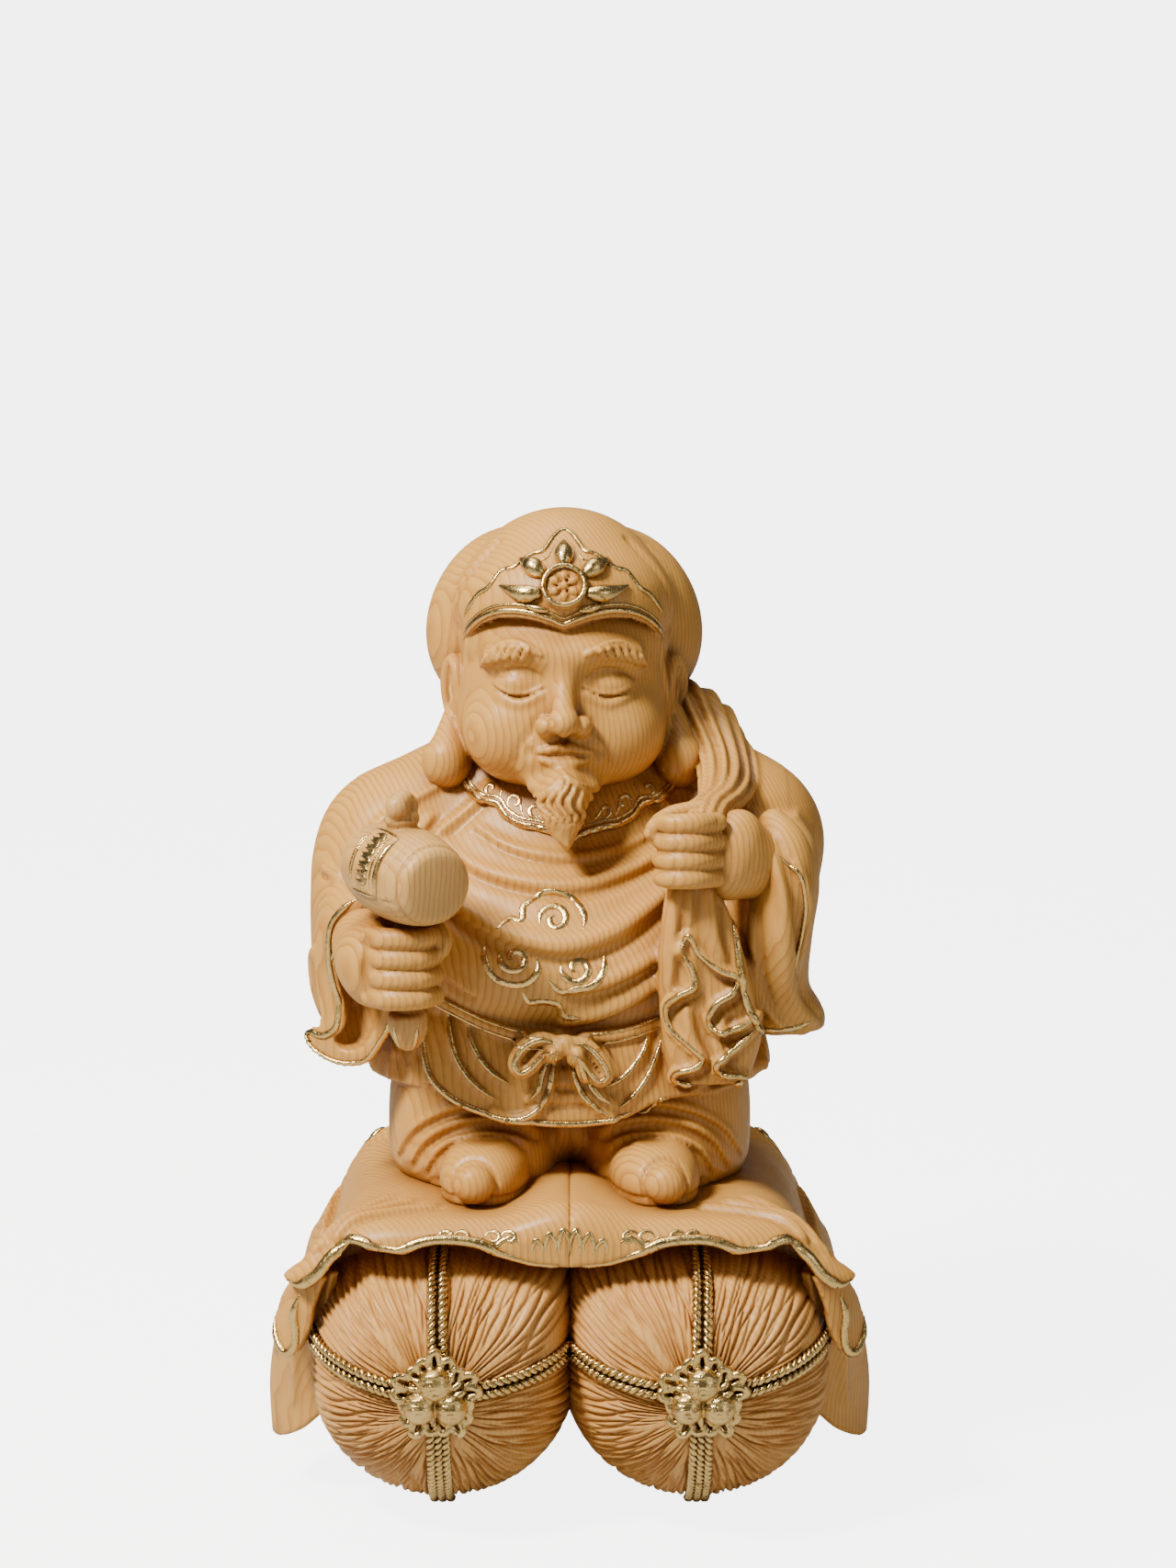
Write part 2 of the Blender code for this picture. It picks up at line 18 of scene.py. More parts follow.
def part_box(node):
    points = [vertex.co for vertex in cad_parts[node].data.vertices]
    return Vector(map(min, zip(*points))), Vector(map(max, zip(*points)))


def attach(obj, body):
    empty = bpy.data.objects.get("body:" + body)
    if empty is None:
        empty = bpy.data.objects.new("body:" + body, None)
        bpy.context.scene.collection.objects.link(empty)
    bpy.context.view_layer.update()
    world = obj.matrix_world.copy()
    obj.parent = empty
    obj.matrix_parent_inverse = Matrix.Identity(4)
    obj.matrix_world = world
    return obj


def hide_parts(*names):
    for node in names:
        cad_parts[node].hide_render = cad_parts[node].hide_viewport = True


MM = 0.001
FAR = 8.0           # mm: a distance beyond every blend

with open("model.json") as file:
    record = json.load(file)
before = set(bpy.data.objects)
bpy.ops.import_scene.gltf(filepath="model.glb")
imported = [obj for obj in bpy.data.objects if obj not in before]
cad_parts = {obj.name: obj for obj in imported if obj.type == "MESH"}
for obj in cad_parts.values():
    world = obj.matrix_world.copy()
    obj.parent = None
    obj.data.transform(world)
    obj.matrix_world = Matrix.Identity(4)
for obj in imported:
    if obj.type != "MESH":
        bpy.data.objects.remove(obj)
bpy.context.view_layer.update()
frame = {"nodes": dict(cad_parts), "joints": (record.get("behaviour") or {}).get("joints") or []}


def middle_of(node):
    """The middle of a CAD node, in millimetres."""
    low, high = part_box(node)
    return (np.array(low) + np.array(high)) / 2 / MM


FIGURE_ORIGIN = (0.0, float(middle_of("neck_peg")[1]), 0.0)
BASE_ORIGIN = (0.0, 0.0, 0.0)


# ---- curves ------------------------------------------------------------------------------------------------


def between_points(p0, p1, p2, p3, t):
    """The smooth path from p1 to p2, at t from 0 to 1, that also heeds the points before and after."""
    return 0.5 * (2 * p1 + (p2 - p0) * t + (2 * p0 - 5 * p1 + 4 * p2 - p3) * t ** 2
                  + (3 * p1 - 3 * p2 + p3 - p0) * t ** 3)


def spline(points, step=0.8, closed=False):
    """A smooth curve through rows of numbers, sampled about every step millimetres."""
    rows = np.asarray(points, float)
    count = len(rows)
    spans = count if closed else count - 1
    out = []
    for i in range(spans):
        if closed:
            p0, p1, p2, p3 = (rows[(i + k) % count] for k in (-1, 0, 1, 2))
        else:
            p0, p1, p2, p3 = rows[max(i - 1, 0)], rows[i], rows[i + 1], rows[min(i + 2, count - 1)]
        steps = max(2, int(math.ceil(np.linalg.norm((p2 - p1)[:3]) / step)))
        t = np.linspace(0, 1, steps, endpoint=False)[:, None]
        out.append(between_points(p0, p1, p2, p3, t))
    if not closed:
        out.append(rows[-1:])
    return np.vstack(out)


def resampled(points, count, closed=True):
    """The same curve cut into a fixed number of even steps."""
    rows = np.vstack([points, points[:1]]) if closed else np.asarray(points)
    lengths = np.r_[0, np.cumsum(np.linalg.norm(np.diff(rows[:, :3], axis=0), axis=1))]
    places = np.linspace(0, lengths[-1], count, endpoint=not closed)
    return np.stack([np.interp(places, lengths, rows[:, k]) for k in range(rows.shape[1])], axis=1)


def even(points, radius):
    """The curve with the same radius all along."""
    return np.column_stack([points, np.full(len(points), radius)])


def tapered(points, thickest, ends=0.25):
    """The curve with a radius for each point, thick in the middle and thin at its ends."""
    t = np.linspace(0, 1, len(points))
    swell = ends + (1 - ends) * np.sin(np.pi * t) ** 0.7
    return np.column_stack([points, thickest * swell])


def ring(centre, across, up, count=40, power=2.0):
    """A closed oval about a centre. A power above 2 makes it squarer."""
    angles = np.linspace(0, 2 * math.pi, count, endpoint=False)
    c, s = np.cos(angles), np.sin(angles)
    c = np.sign(c) * np.abs(c) ** (2 / power)
    s = np.sign(s) * np.abs(s) ** (2 / power)
    return np.array(centre, float) + np.outer(c, across) + np.outer(s, up)


def level_rings(rows, power, count=48):
    """Level ovals from rows of (x, y, z, half width, half depth), to be lofted."""
    return [ring((x, y, z), (across, 0, 0), (0, deep, 0), count, power) for x, y, z, across, deep in rows]


def loft(rings, count=48, between=5):
    """A closed skin through rings of any point counts: (points, triangles, quads)."""
    loops = np.array([resampled(np.asarray(r, float), count) for r in rings])
    steps = np.linspace(0, len(rings) - 1, (len(rings) - 1) * between + 1)
    rows = lofted_rows(loops.reshape(len(loops), -1), steps)
    loops = rows.reshape(len(rows), count, 3)
    points = np.vstack([loops.reshape(-1, 3), loops[0].mean(0), loops[-1].mean(0)])
    first, last = len(points) - 2, len(points) - 1
    around = np.arange(count)
    ahead = (around + 1) % count
    quads = np.vstack([np.column_stack([k * count + around, k * count + ahead, (k + 1) * count + ahead,
                                        (k + 1) * count + around]) for k in range(len(loops) - 1)])
    base = (len(loops) - 1) * count
    triangles = np.vstack([np.column_stack([ahead, around, np.full(count, first)]),
                           np.column_stack([base + around, base + ahead, np.full(count, last)])])
    return points, triangles, quads


def lofted_rows(rows, steps):
    """Rows blended smoothly at fractional places."""
    out = []
    for s in steps:
        i = min(int(s), len(rows) - 2)
        t = s - i
        p0, p1, p2, p3 = rows[max(i - 1, 0)], rows[i], rows[i + 1], rows[min(i + 2, len(rows) - 1)]
        out.append(between_points(p0, p1, p2, p3, t))
    return np.array(out)


def sheet(rows, thickness, fine=1.2):
    """A closed thin skin through rows of points, such as a piece of cloth: (points, triangles, quads)."""
    rows = np.asarray(rows, float)
    count = rows.shape[1]
    span = max(np.linalg.norm(np.diff(rows, axis=1), axis=2).sum(axis=1).max() / fine, 6)
    across = [lofted_rows(r, np.linspace(0, count - 1, int(span))) for r in rows]
    flat = np.array(across).reshape(len(rows), -1)
    drop = max(np.linalg.norm(np.diff(np.array(across), axis=0), axis=2).sum(axis=0).max() / fine, 6)
    grid = lofted_rows(flat, np.linspace(0, len(rows) - 1, int(drop))).reshape(int(drop), int(span), 3)
    normal = np.cross(np.gradient(grid, axis=0), np.gradient(grid, axis=1))
    normal /= np.maximum(np.linalg.norm(normal, axis=2, keepdims=True), 1e-9)
    half = normal * thickness / 2
    m, n = grid.shape[:2]
    points = np.vstack([(grid + half).reshape(-1, 3), (grid - half).reshape(-1, 3)])
    index = np.arange(m * n).reshape(m, n)
    cells = np.stack([index[:-1, :-1], index[:-1, 1:], index[1:, 1:], index[1:, :-1]], axis=2).reshape(-1, 4)
    edge = np.concatenate([index[0], index[1:, -1], index[-1, -2::-1], index[-2:0:-1, 0]])
    after = np.roll(edge, -1)
    walls = np.column_stack([edge, after, after + m * n, edge + m * n])
    quads = np.vstack([cells, cells[:, ::-1] + m * n, walls[:, ::-1]])
    return points, np.zeros((0, 3), int), quads


# ---- clay --------------------------------------------------------------------------------------------------


def soft_union(a, b, blend):
    """The union of two distance fields, with a rounded joint as wide as blend."""
    if blend <= 0:
        return np.minimum(a, b)
    h = np.maximum(blend - np.abs(a - b), 0) / blend
    return np.minimum(a, b) - h * h * blend / 4


class Clay:
    """A block of clay as signed distances in millimetres on a grid, negative inside."""

    def __init__(self, low, high, step):
        self.step = step
        self.low = np.array(low, float)
        size = np.ceil((np.array(high) - self.low) / step).astype(int) + 1
        self.field = np.full(size, FAR, np.float32)

    def blank(self):
        """Empty clay on the same grid."""
        twin = Clay(self.low, self.low, self.step)
        twin.field = np.full_like(self.field, FAR)
        return twin

    def window(self, low, high):
        """The part of the grid between two corners, and its coordinates as open rows."""
        shape = np.array(self.field.shape)
        first = np.clip(np.floor((np.asarray(low) - self.low) / self.step).astype(int), 0, shape - 1)
        last = np.clip(np.ceil((np.asarray(high) - self.low) / self.step).astype(int) + 1, first + 1, shape)
        part = tuple(slice(a, b) for a, b in zip(first, last))
        rows = [(self.low[k] + self.step * np.arange(first[k], last[k])).astype(np.float32) for k in range(3)]
        return part, (rows[0][:, None, None], rows[1][None, :, None], rows[2][None, None, :])

    def merge(self, part, distance, blend, cut=False):
        """Joins a distance field to the clay, or cuts it out of the clay."""
        old = self.field[part]
        if cut:
            self.field[part] = -soft_union(-old, distance, blend)
        else:
            self.field[part] = soft_union(old, distance, blend)

    def lump(self, centre, radii, turn=(0, 0, 0), blend=1.0, cut=False):
        """Adds, or cuts away, an ellipsoid turned by degrees about X, Y and Z."""
        centre, radii = np.array(centre, float), np.array(radii, np.float32)
        matrix = np.array(Euler([math.radians(a) for a in turn]).to_matrix(), np.float32)
        reach = np.abs(matrix) @ radii + blend + 2 * self.step
        part, (x, y, z) = self.window(centre - reach, centre + reach)
        x, y, z = x - centre[0], y - centre[1], z - centre[2]
        local = [matrix[0, k] * x + matrix[1, k] * y + matrix[2, k] * z for k in range(3)]
        k0 = np.sqrt(sum((p / r) ** 2 for p, r in zip(local, radii)))
        k1 = np.sqrt(sum((p / (r * r)) ** 2 for p, r in zip(local, radii)))
        self.merge(part, (k0 * (k0 - 1) / np.maximum(k1, 1e-5)).astype(np.float32), blend, cut)

    def stroke(self, points, blend=1.0, cut=False):
        """Adds, or cuts away, a round stroke through (x, y, z, radius) points."""
        points = np.asarray(points, float)
        widest = points[:, 3].max()
        margin = widest + blend + 2 * self.step
        part, _ = self.window(points[:, :3].min(0) - margin, points[:, :3].max(0) + margin)
        near = np.full([s.stop - s.start for s in part], FAR, np.float32)
        offset = np.array([s.start for s in part])
        for a, b in zip(points, points[1:]):
            reach = max(a[3], b[3]) + blend + 2 * self.step
            sub, (x, y, z) = self.window(np.minimum(a, b)[:3] - reach, np.maximum(a, b)[:3] + reach)
            way = b[:3] - a[:3]
            length2 = max(float(way @ way), 1e-9)
            px, py, pz = x - a[0], y - a[1], z - a[2]
            t = np.clip((px * way[0] + py * way[1] + pz * way[2]) / length2, 0, 1)
            dx, dy, dz = px - way[0] * t, py - way[1] * t, pz - way[2] * t
            distance = np.sqrt(dx * dx + dy * dy + dz * dz) - (a[3] + (b[3] - a[3]) * t)
            place = tuple(slice(s.start - o, s.stop - o) for s, o in zip(sub, offset))
            near[place] = np.minimum(near[place], distance.astype(np.float32))
        self.merge(part, near, blend, cut)

    def skin(self, mesh, blend=1.0, cut=False):
        """Adds, or cuts away, a closed skin given as (points, triangles, quads)."""
        points, triangles, quads = mesh
        margin = 6 * self.step
        part, _ = self.window(points.min(0) - margin, points.max(0) + margin)
        start = np.array([s.start for s in part])
        local = ((points - self.low) / self.step - start).astype(np.float32)
        grid = openvdb.FloatGrid.createLevelSetFromPolygons(
            local, triangles=triangles.astype(np.uint32), quads=quads.astype(np.uint32), halfWidth=6.0)
        distance = np.full([s.stop - s.start for s in part], 6.0, np.float32)
        grid.copyToArray(distance)
        self.merge(part, distance * self.step, blend, cut)

    def trim(self, rule, low, high, blend=0.0):
        """Cuts away where rule(x, y, z), a signed distance, is negative."""
        part, rows = self.window(low, high)
        distance = np.broadcast_to(rule(*rows), self.field[part].shape).astype(np.float32)
        self.merge(part, distance, blend, cut=True)

    def push(self, rule, low, high):
        """Moves the surface outwards by rule(x, y, z) millimetres."""
        part, rows = self.window(low, high)
        self.field[part] -= rule(*rows).astype(np.float32)

    def sample(self, points):
        """The distance at any points."""
        place = (np.asarray(points, float)[:, :3] - self.low) / self.step
        limit = np.array(self.field.shape) - 1.001
        place = np.clip(place, 0, limit)
        base = place.astype(int)
        t = place - base
        total = np.zeros(len(place))
        for corner in np.ndindex(2, 2, 2):
            weight = np.prod(np.where(corner, t, 1 - t), axis=1)
            total += weight * self.field[tuple((base + corner).T)]
        return total

    def normals(self, points):
        """Outward directions at any points."""
        points = np.asarray(points, float)[:, :3]
        steps = np.eye(3) * self.step
        slope = np.stack([self.sample(points + s) - self.sample(points - s) for s in steps], axis=1)
        return slope / np.maximum(np.linalg.norm(slope, axis=1, keepdims=True), 1e-6)

    def onto(self, points, towards=(0, 1, 0), sink=0.0):
        """The points carried along a direction, from outside, onto the surface. Misses are left out."""
        points = np.array(points, float)
        way = np.array(towards, float) / np.linalg.norm(towards)
        spot = points[:, :3] - way * 30
        done = np.zeros(len(spot), bool)
        for _ in range(240):
            distance = self.sample(spot)
            done |= distance < 0.02
            spot = spot + np.where(done, 0, np.clip(distance * 0.7, 0.05, 2.0))[:, None] * way
        points[:, :3] = spot + way * sink
        return points[done]

    def settled(self, points):
        """The points moved to the nearest surface."""
        points = np.array(points, float)
        for _ in range(6):
            points[:, :3] -= self.normals(points) * self.sample(points)[:, None]
        return points

    def mesh(self, name, origin):
        """The clay's surface as a mesh object about an origin."""
        grid = openvdb.FloatGrid(background=3.0)
        grid.copyFromArray(np.clip(self.field / self.step, -3, 3))
        points, _, quads = grid.convertToPolygons(isovalue=0.0, adaptivity=0.0)
        return mesh_object(name, points * self.step + self.low, quads, origin)


def mesh_object(name, points, faces, origin=BASE_ORIGIN):
    """A mesh from points in millimetres, about an origin, and faces of one size."""
    faces = np.asarray(faces, np.int32)
    sides = faces.shape[1]
    mesh = bpy.data.meshes.new(name)
    mesh.vertices.add(len(points))
    mesh.vertices.foreach_set("co", ((np.asarray(points) + origin) * MM).astype(np.float32).ravel())
    mesh.loops.add(faces.size)
    mesh.loops.foreach_set("vertex_index", faces.ravel())
    mesh.polygons.add(len(faces))
    mesh.polygons.foreach_set("loop_start", np.arange(len(faces), dtype=np.int32) * sides)
    mesh.update(calc_edges=True)
    mesh.validate()
    mesh.shade_smooth()
    obj = bpy.data.objects.new(name, mesh)
    bpy.context.scene.collection.objects.link(obj)
    return obj


def bead(points, normals, width, height, closed=False, sides=8, taper=True):
    """A low rounded line along a surface: (points, quads). Width and height are its half sizes."""
    points = np.asarray(points, float)[:, :3]
    if closed:
        along = np.roll(points, -1, axis=0) - np.roll(points, 1, axis=0)
    else:
        along = np.gradient(points, axis=0)
    along /= np.maximum(np.linalg.norm(along, axis=1, keepdims=True), 1e-6)
    up = normals - along * np.sum(normals * along, axis=1, keepdims=True)
    up /= np.maximum(np.linalg.norm(up, axis=1, keepdims=True), 1e-6)
    across = np.cross(along, up)
    size = np.ones(len(points))
    if taper and not closed:
        t = np.linspace(0, 1, len(points))
        size = np.clip(np.minimum(t, 1 - t) * len(points) / 6, 0.12, 1)
    angles = np.linspace(0, 2 * math.pi, sides, endpoint=False)
    rows = [points + across * (width * math.cos(a) * size)[:, None]
            + up * (height * math.sin(a) * size)[:, None] for a in angles]
    vertices = np.stack(rows, axis=1).reshape(-1, 3)
    count = len(points)
    pairs = [(i, (i + 1) % count) for i in range(count if closed else count - 1)]
    quads = []
    for i, j in pairs:
        for k in range(sides):
            n = (k + 1) % sides
            quads.append((i * sides + k, i * sides + n, j * sides + n, j * sides + k))
    if not closed:
        for base in (0, (count - 1) * sides):
            half = sides // 2
            for k in range(half - 1):
                a, b, c, d = base + k, base + k + 1, base + sides - 2 - k, base + sides - 1 - k
                quads.append((a, b, c, d) if base else (d, c, b, a))
    return vertices, np.array(quads)


def gathered(name, pieces, origin):
    """One mesh from many (points, quads) pieces."""
    points, faces, start = [], [], 0
    for vertices, quads in pieces:
        points.append(vertices)
        faces.append(quads + start)
        start += len(vertices)
    return mesh_object(name, np.vstack(points), np.vstack(faces), origin)


def gold_line(clay, points, towards=None, width=0.5, height=0.3, step=0.7):
    """A gold bead along a curve laid on the clay. Towards is the way the curve is carried onto it."""
    curve = spline(points, step)
    curve = clay.onto(curve, towards) if towards is not None else clay.settled(curve)
    return bead(curve, clay.normals(curve), width, height)


def finish_piece(obj, body, *nodes):
    """The piece rides on a body and stands for CAD nodes, which are hidden."""
    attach(obj, body)
    if nodes:
        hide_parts(*nodes)
    return obj


# ---- materials ---------------------------------------------------------------------------------------------


class Nodes:
    """A small helper for writing node graphs as nested calls."""

    def __init__(self, name):
        self.material = bpy.data.materials.new(name)
        self.material.use_nodes = True
        self.tree = self.material.node_tree
        self.shader = self.tree.nodes["Principled BSDF"]

    def put(self, socket, value):
        """Links a socket to the input, or sets its value."""
        if isinstance(value, bpy.types.NodeSocket):
            self.tree.links.new(value, socket)
        else:
            socket.default_value = value

    def node(self, kind, output=0, settings=None, **inputs):
        """Adds a node and returns one of its outputs. Inputs go by name, or by number as i0, i1 and so on."""
        made = self.tree.nodes.new(kind)
        for key, value in (settings or {}).items():
            setattr(made, key, value)
        for key, value in inputs.items():
            name = key.replace("_", " ")
            socket = made.inputs[int(key[1:])] if key[0] == "i" and key[1:].isdigit() else made.inputs[name]
            self.put(socket, value)
        return made.outputs[output]

    def math(self, operation, a, b=0.0, c=0.0):
        return self.node("ShaderNodeMath", settings={"operation": operation}, i0=a, i1=b, i2=c)

    def vector(self, operation, a, b=(0, 0, 0)):
        output = 1 if operation in ("LENGTH", "DOT_PRODUCT") else 0
        return self.node("ShaderNodeVectorMath", output, {"operation": operation}, i0=a, i1=b)

    def noise(self, vector, scale, detail=2.0, roughness=0.5):
        return self.node("ShaderNodeTexNoise", 0, Vector=vector, Scale=scale, Detail=detail,
                         Roughness=roughness)

    def ramp(self, factor, stops):
        made = self.tree.nodes.new("ShaderNodeValToRGB")
        elements = made.color_ramp.elements
        while len(elements) < len(stops):
            elements.new(0.5)
        for element, (place, colour) in zip(elements, stops):
            element.position = place
            element.color = (*colour, 1.0) if len(colour) == 3 else colour
        self.put(made.inputs["Fac"], factor)
        return made.outputs["Color"]

    def mix(self, factor, a, b, blend="MIX"):
        made = self.tree.nodes.new("ShaderNodeMix")
        made.data_type = "RGBA"
        made.blend_type = blend
        self.put(made.inputs["Factor"], factor)
        self.put(made.inputs["A"], a)
        self.put(made.inputs["B"], b)
        return made.outputs["Result"]

    def span(self, value, low, high, to_low=0.0, to_high=1.0):
        return self.node("ShaderNodeMapRange", Value=value, From_Min=low, From_Max=high, To_Min=to_low,
                         To_Max=to_high)

    def bump(self, height, strength, distance):
        return self.node("ShaderNodeBump", Height=height, Strength=strength, Distance=distance)


RING_SPACING = 0.00115          # metres between growth rings
RING_WAY = (-0.86, -0.51, 0.04)  # from the tree's heart outwards
HEART_DISTANCE = 0.21           # metres


def wood_material(name, pale, dark, painted_shade_colour, sheen=0.40, shading=0.85):
    """Satin cypress: growth rings about a far-off heart, fine fibre, painted shade in hollows and recesses,
    and paler ridges, partly edge wear and partly painted highlight.
    """
    n = Nodes(name)
    place = n.node("ShaderNodeTexCoord", 3)
    heart = Vector(RING_WAY).normalized() * -HEART_DISTANCE
    moved = n.vector("SUBTRACT", place, tuple(heart))
    level = n.vector("MULTIPLY", moved, (1, 1, 0.06))
    wander = n.math("MULTIPLY", n.math("SUBTRACT", n.noise(place, 38, 2), 0.5), 0.0034)
    drift = n.math("MULTIPLY", n.math("SUBTRACT", n.noise(place, 240, 2), 0.5), 0.00045)
    reach = n.math("ADD", n.math("ADD", n.vector("LENGTH", level), wander), drift)
    ring_phase = n.math("FRACT", n.math("DIVIDE", reach, RING_SPACING))
    ring_line = n.ramp(ring_phase, [(0.0, (0, 0, 0)), (0.45, (0.10, 0.10, 0.10)), (0.80, (0.62, 0.62, 0.62)),
                                    (0.93, (1, 1, 1)), (1.0, (0, 0, 0))])
    fibre = n.noise(n.vector("MULTIPLY", place, (1, 1, 0.035)), 2600, 3, 0.6)
    blotch = n.noise(place, 26, 3)
    strength = n.span(n.noise(place, 60, 2), 0.3, 0.7, 0.42, 0.85)
    colour = n.mix(n.math("MULTIPLY", ring_line, strength), (*pale, 1), (*dark, 1))
    colour = n.mix(n.span(blotch, 0.35, 0.7, 0.0, 0.34), colour,
                   (pale[0] * 0.93, pale[1] * 0.80, pale[2] * 0.66, 1))
    colour = n.mix(n.span(fibre, 0.35, 0.75, 0.0, 0.22), colour, (*dark, 1))
    # painted shade: the colour darkens towards the painted shade colour in concave hollows, found by
    # pointiness
    sharp = n.node("ShaderNodeNewGeometry", 7)
    hollow = n.span(sharp, 0.40, 0.50, 1.0, 0.0)
    ridge_wear_and_highlight = n.span(sharp, 0.52, 0.62, 0.0, 0.35)
    colour = n.mix(n.math("MULTIPLY", hollow, 0.45), colour, (*painted_shade_colour, 1))
    # painted shade: ambient occlusion darkens recesses and creases towards the painted shade colour, as
    # strong as shading
    shade = n.node("ShaderNodeAmbientOcclusion", 1, {"samples": 5}, Distance=0.0075)
    colour = n.mix(n.span(shade, 0.25, 0.95, shading, 0.0), colour, (*painted_shade_colour, 1))
    # paler on sharp ridges: partly edge wear, partly painted highlight
    colour = n.mix(ridge_wear_and_highlight, colour, (pale[0] * 1.06, pale[1] * 1.1, pale[2] * 1.18, 1))
    n.put(n.shader.inputs["Base Color"], colour)
    rough = n.span(n.noise(place, 90, 3), 0.3, 0.7, sheen - 0.06, sheen + 0.10)
    n.put(n.shader.inputs["Roughness"], n.math("ADD", rough, n.math("MULTIPLY", ring_line, -0.05)))
    n.put(n.shader.inputs["Subsurface Weight"], 0.06)
    n.put(n.shader.inputs["Subsurface Radius"], (0.004, 0.002, 0.001))
    n.put(n.shader.inputs["Subsurface Scale"], 0.5)
    n.put(n.shader.inputs["Specular IOR Level"], 0.30)
    tool_marks = n.noise(n.vector("MULTIPLY", place, (1, 1, 0.55)), 420, 2)
    relief = n.math("ADD", n.math("MULTIPLY", fibre, 0.30), n.math("MULTIPLY", ring_line, -0.35))
    relief = n.math("ADD", relief, n.math("MULTIPLY", tool_marks, 0.6))
    n.put(n.shader.inputs["Normal"], n.bump(relief, 0.32, 0.0003))
    return n.material


def gold_material(name):
    """Pale gold leaf brushed over wood: bright, uneven, and worn through to brown in specks, with painted
    shade darkening its crevices.
    """
    n = Nodes(name)
    place = n.node("ShaderNodeTexCoord", 3)
    patch = n.noise(place, 520, 4, 0.62)
    fine = n.noise(place, 2400, 3, 0.6)
    worn = n.span(n.math("ADD", n.math("MULTIPLY", patch, 0.7), n.math("MULTIPLY", fine, 0.3)), 0.56, 0.63)
    leaf = n.mix(n.noise(place, 300, 2), (0.90, 0.67, 0.29, 1), (0.66, 0.43, 0.14, 1))
    leaf = n.mix(worn, leaf, (0.26, 0.13, 0.045, 1))
    # painted shade: ambient occlusion darkens the leaf to dark brown in crevices
    shade = n.node("ShaderNodeAmbientOcclusion", 1, {"samples": 4}, Distance=0.0022)
    n.put(n.shader.inputs["Base Color"], n.mix(n.span(shade, 0.30, 0.85, 0.92, 0.0), leaf,
                                               (0.13, 0.055, 0.014, 1)))
    n.put(n.shader.inputs["Metallic"], n.span(worn, 0, 1, 1.0, 0.45))
    n.put(n.shader.inputs["Roughness"], n.span(n.noise(place, 900, 3), 0.3, 0.7, 0.16, 0.34))
    relief = n.math("ADD", n.math("MULTIPLY", n.noise(place, 700, 3), 0.6), n.math("MULTIPLY", fine, 0.4))
    n.put(n.shader.inputs["Normal"], n.bump(relief, 0.55, 0.0004))
    return n.material


WOOD = wood_material("cypress", (0.68, 0.362, 0.088), (0.35, 0.130, 0.016), (0.19, 0.050, 0.003))
STRAW_WOOD = wood_material("cypress_straw", (0.78, 0.445, 0.140), (0.52, 0.230, 0.046), (0.30, 0.095, 0.010),
                           0.46, 0.70)
PALE_WOOD = wood_material("cypress_mallet", (0.66, 0.385, 0.125), (0.38, 0.175, 0.042), (0.24, 0.08, 0.012),
                          0.36)
PEG_WOOD = wood_material("peg_wood", (0.55, 0.36, 0.19), (0.40, 0.22, 0.10), (0.25, 0.12, 0.05), 0.6)
GOLD = gold_material("gold_leaf")


# ---- base: bales, ropes, knots and cloth -------------------------------------------------------------------

BALE_RADIUS = 28.6
BALE_X = 26.5
BALE_Z = 28.0
BALE_STRAIGHT = 13.0
BALE_DOME = 40.5
OUTER_SQUARENESS = 3.2
INNER_SQUARENESS = 6.0
DOME_POWER = 2.9
DOME_UPPER_GAIN = 0.8   # a bale's end is flatter above its axis and rounder below it
SEAM = -0.05            # the halves run into each other by this much at the glue line
CLOTH_TOP = 65.5
PEG_HOLE = 3.7          # radius of the holes that take the foot pegs
PEG_DEPTH = 12.2
STRAWS = 104
STRAW_DEPTH = 0.80
KNOT_Z = 31.8
KNOT_LOOPS = 17
BALE_AROUND = 760       # points round a bale, rows on its front end, its side and its rear end
FRONT_ROWS, SIDE_ROWS, REAR_ROWS = 54, 8, 40
ROPE_STRAND = 0.62
ROPE_PITCH = 3.0


def hashed(values):
    """A repeatable random number from 0 to 1 for each whole number."""
    return np.modf(np.abs(np.sin(values * 12.9898) * 43758.5453))[0]


def straw_depth(angle, radius):
    """How deep the straw cuts are at an angle and a distance from a bale's axis, in millimetres."""
    total = np.zeros(np.broadcast(angle, radius).shape)
    for count, width, depth, shift in ((STRAWS, 0.20, 0.62, 0.0), (STRAWS // 2 - 3, 0.13, 0.8, 1.7)):
        wander = 0.5 * np.sin(3 * angle + shift) + 0.55 * np.sin(radius / 4.2 + 5 * angle + shift)
        phase = count * angle / (2 * math.pi) + wander + shift
        number = np.floor(phase)
        start = 5 + 14 * hashed(number + shift) ** 2
        end = 24 + 9 * hashed(number * 1.7 + 3)
        alive = np.clip((radius - start) / 3, 0, 1) * np.clip((end - radius) / 3, 0.25, 1)
        cut = np.exp(-((phase - number - 0.5) / width) ** 2)
        total = np.maximum(total, cut * alive * depth * (0.6 + 0.6 * hashed(number * 2.3)))
    return total * STRAW_DEPTH / 0.62


def spread(outward, dz):
    """How far out a place on a bale's end lies: 0 on its axis and 1 at its rim. The upper half is squarer."""
    upper = np.where(np.asarray(outward) > 0, OUTER_SQUARENESS, INNER_SQUARENESS)
    power = np.where(np.asarray(dz) > 0, upper, 2.0)
    return ((np.abs(outward) ** power + np.abs(dz) ** power) ** (1 / power)) / BALE_RADIUS


def dome_power(rise):
    """How flat a bale's end is in a direction, from -1 straight down to 1 straight up."""
    return DOME_POWER + DOME_UPPER_GAIN * rise


def dome_depth(reach, power):
    """How far a bale's end bulges, from 1 on its axis to 0 at its rim."""
    return np.clip(1 - reach ** power, 0, 1) ** (1 / power)


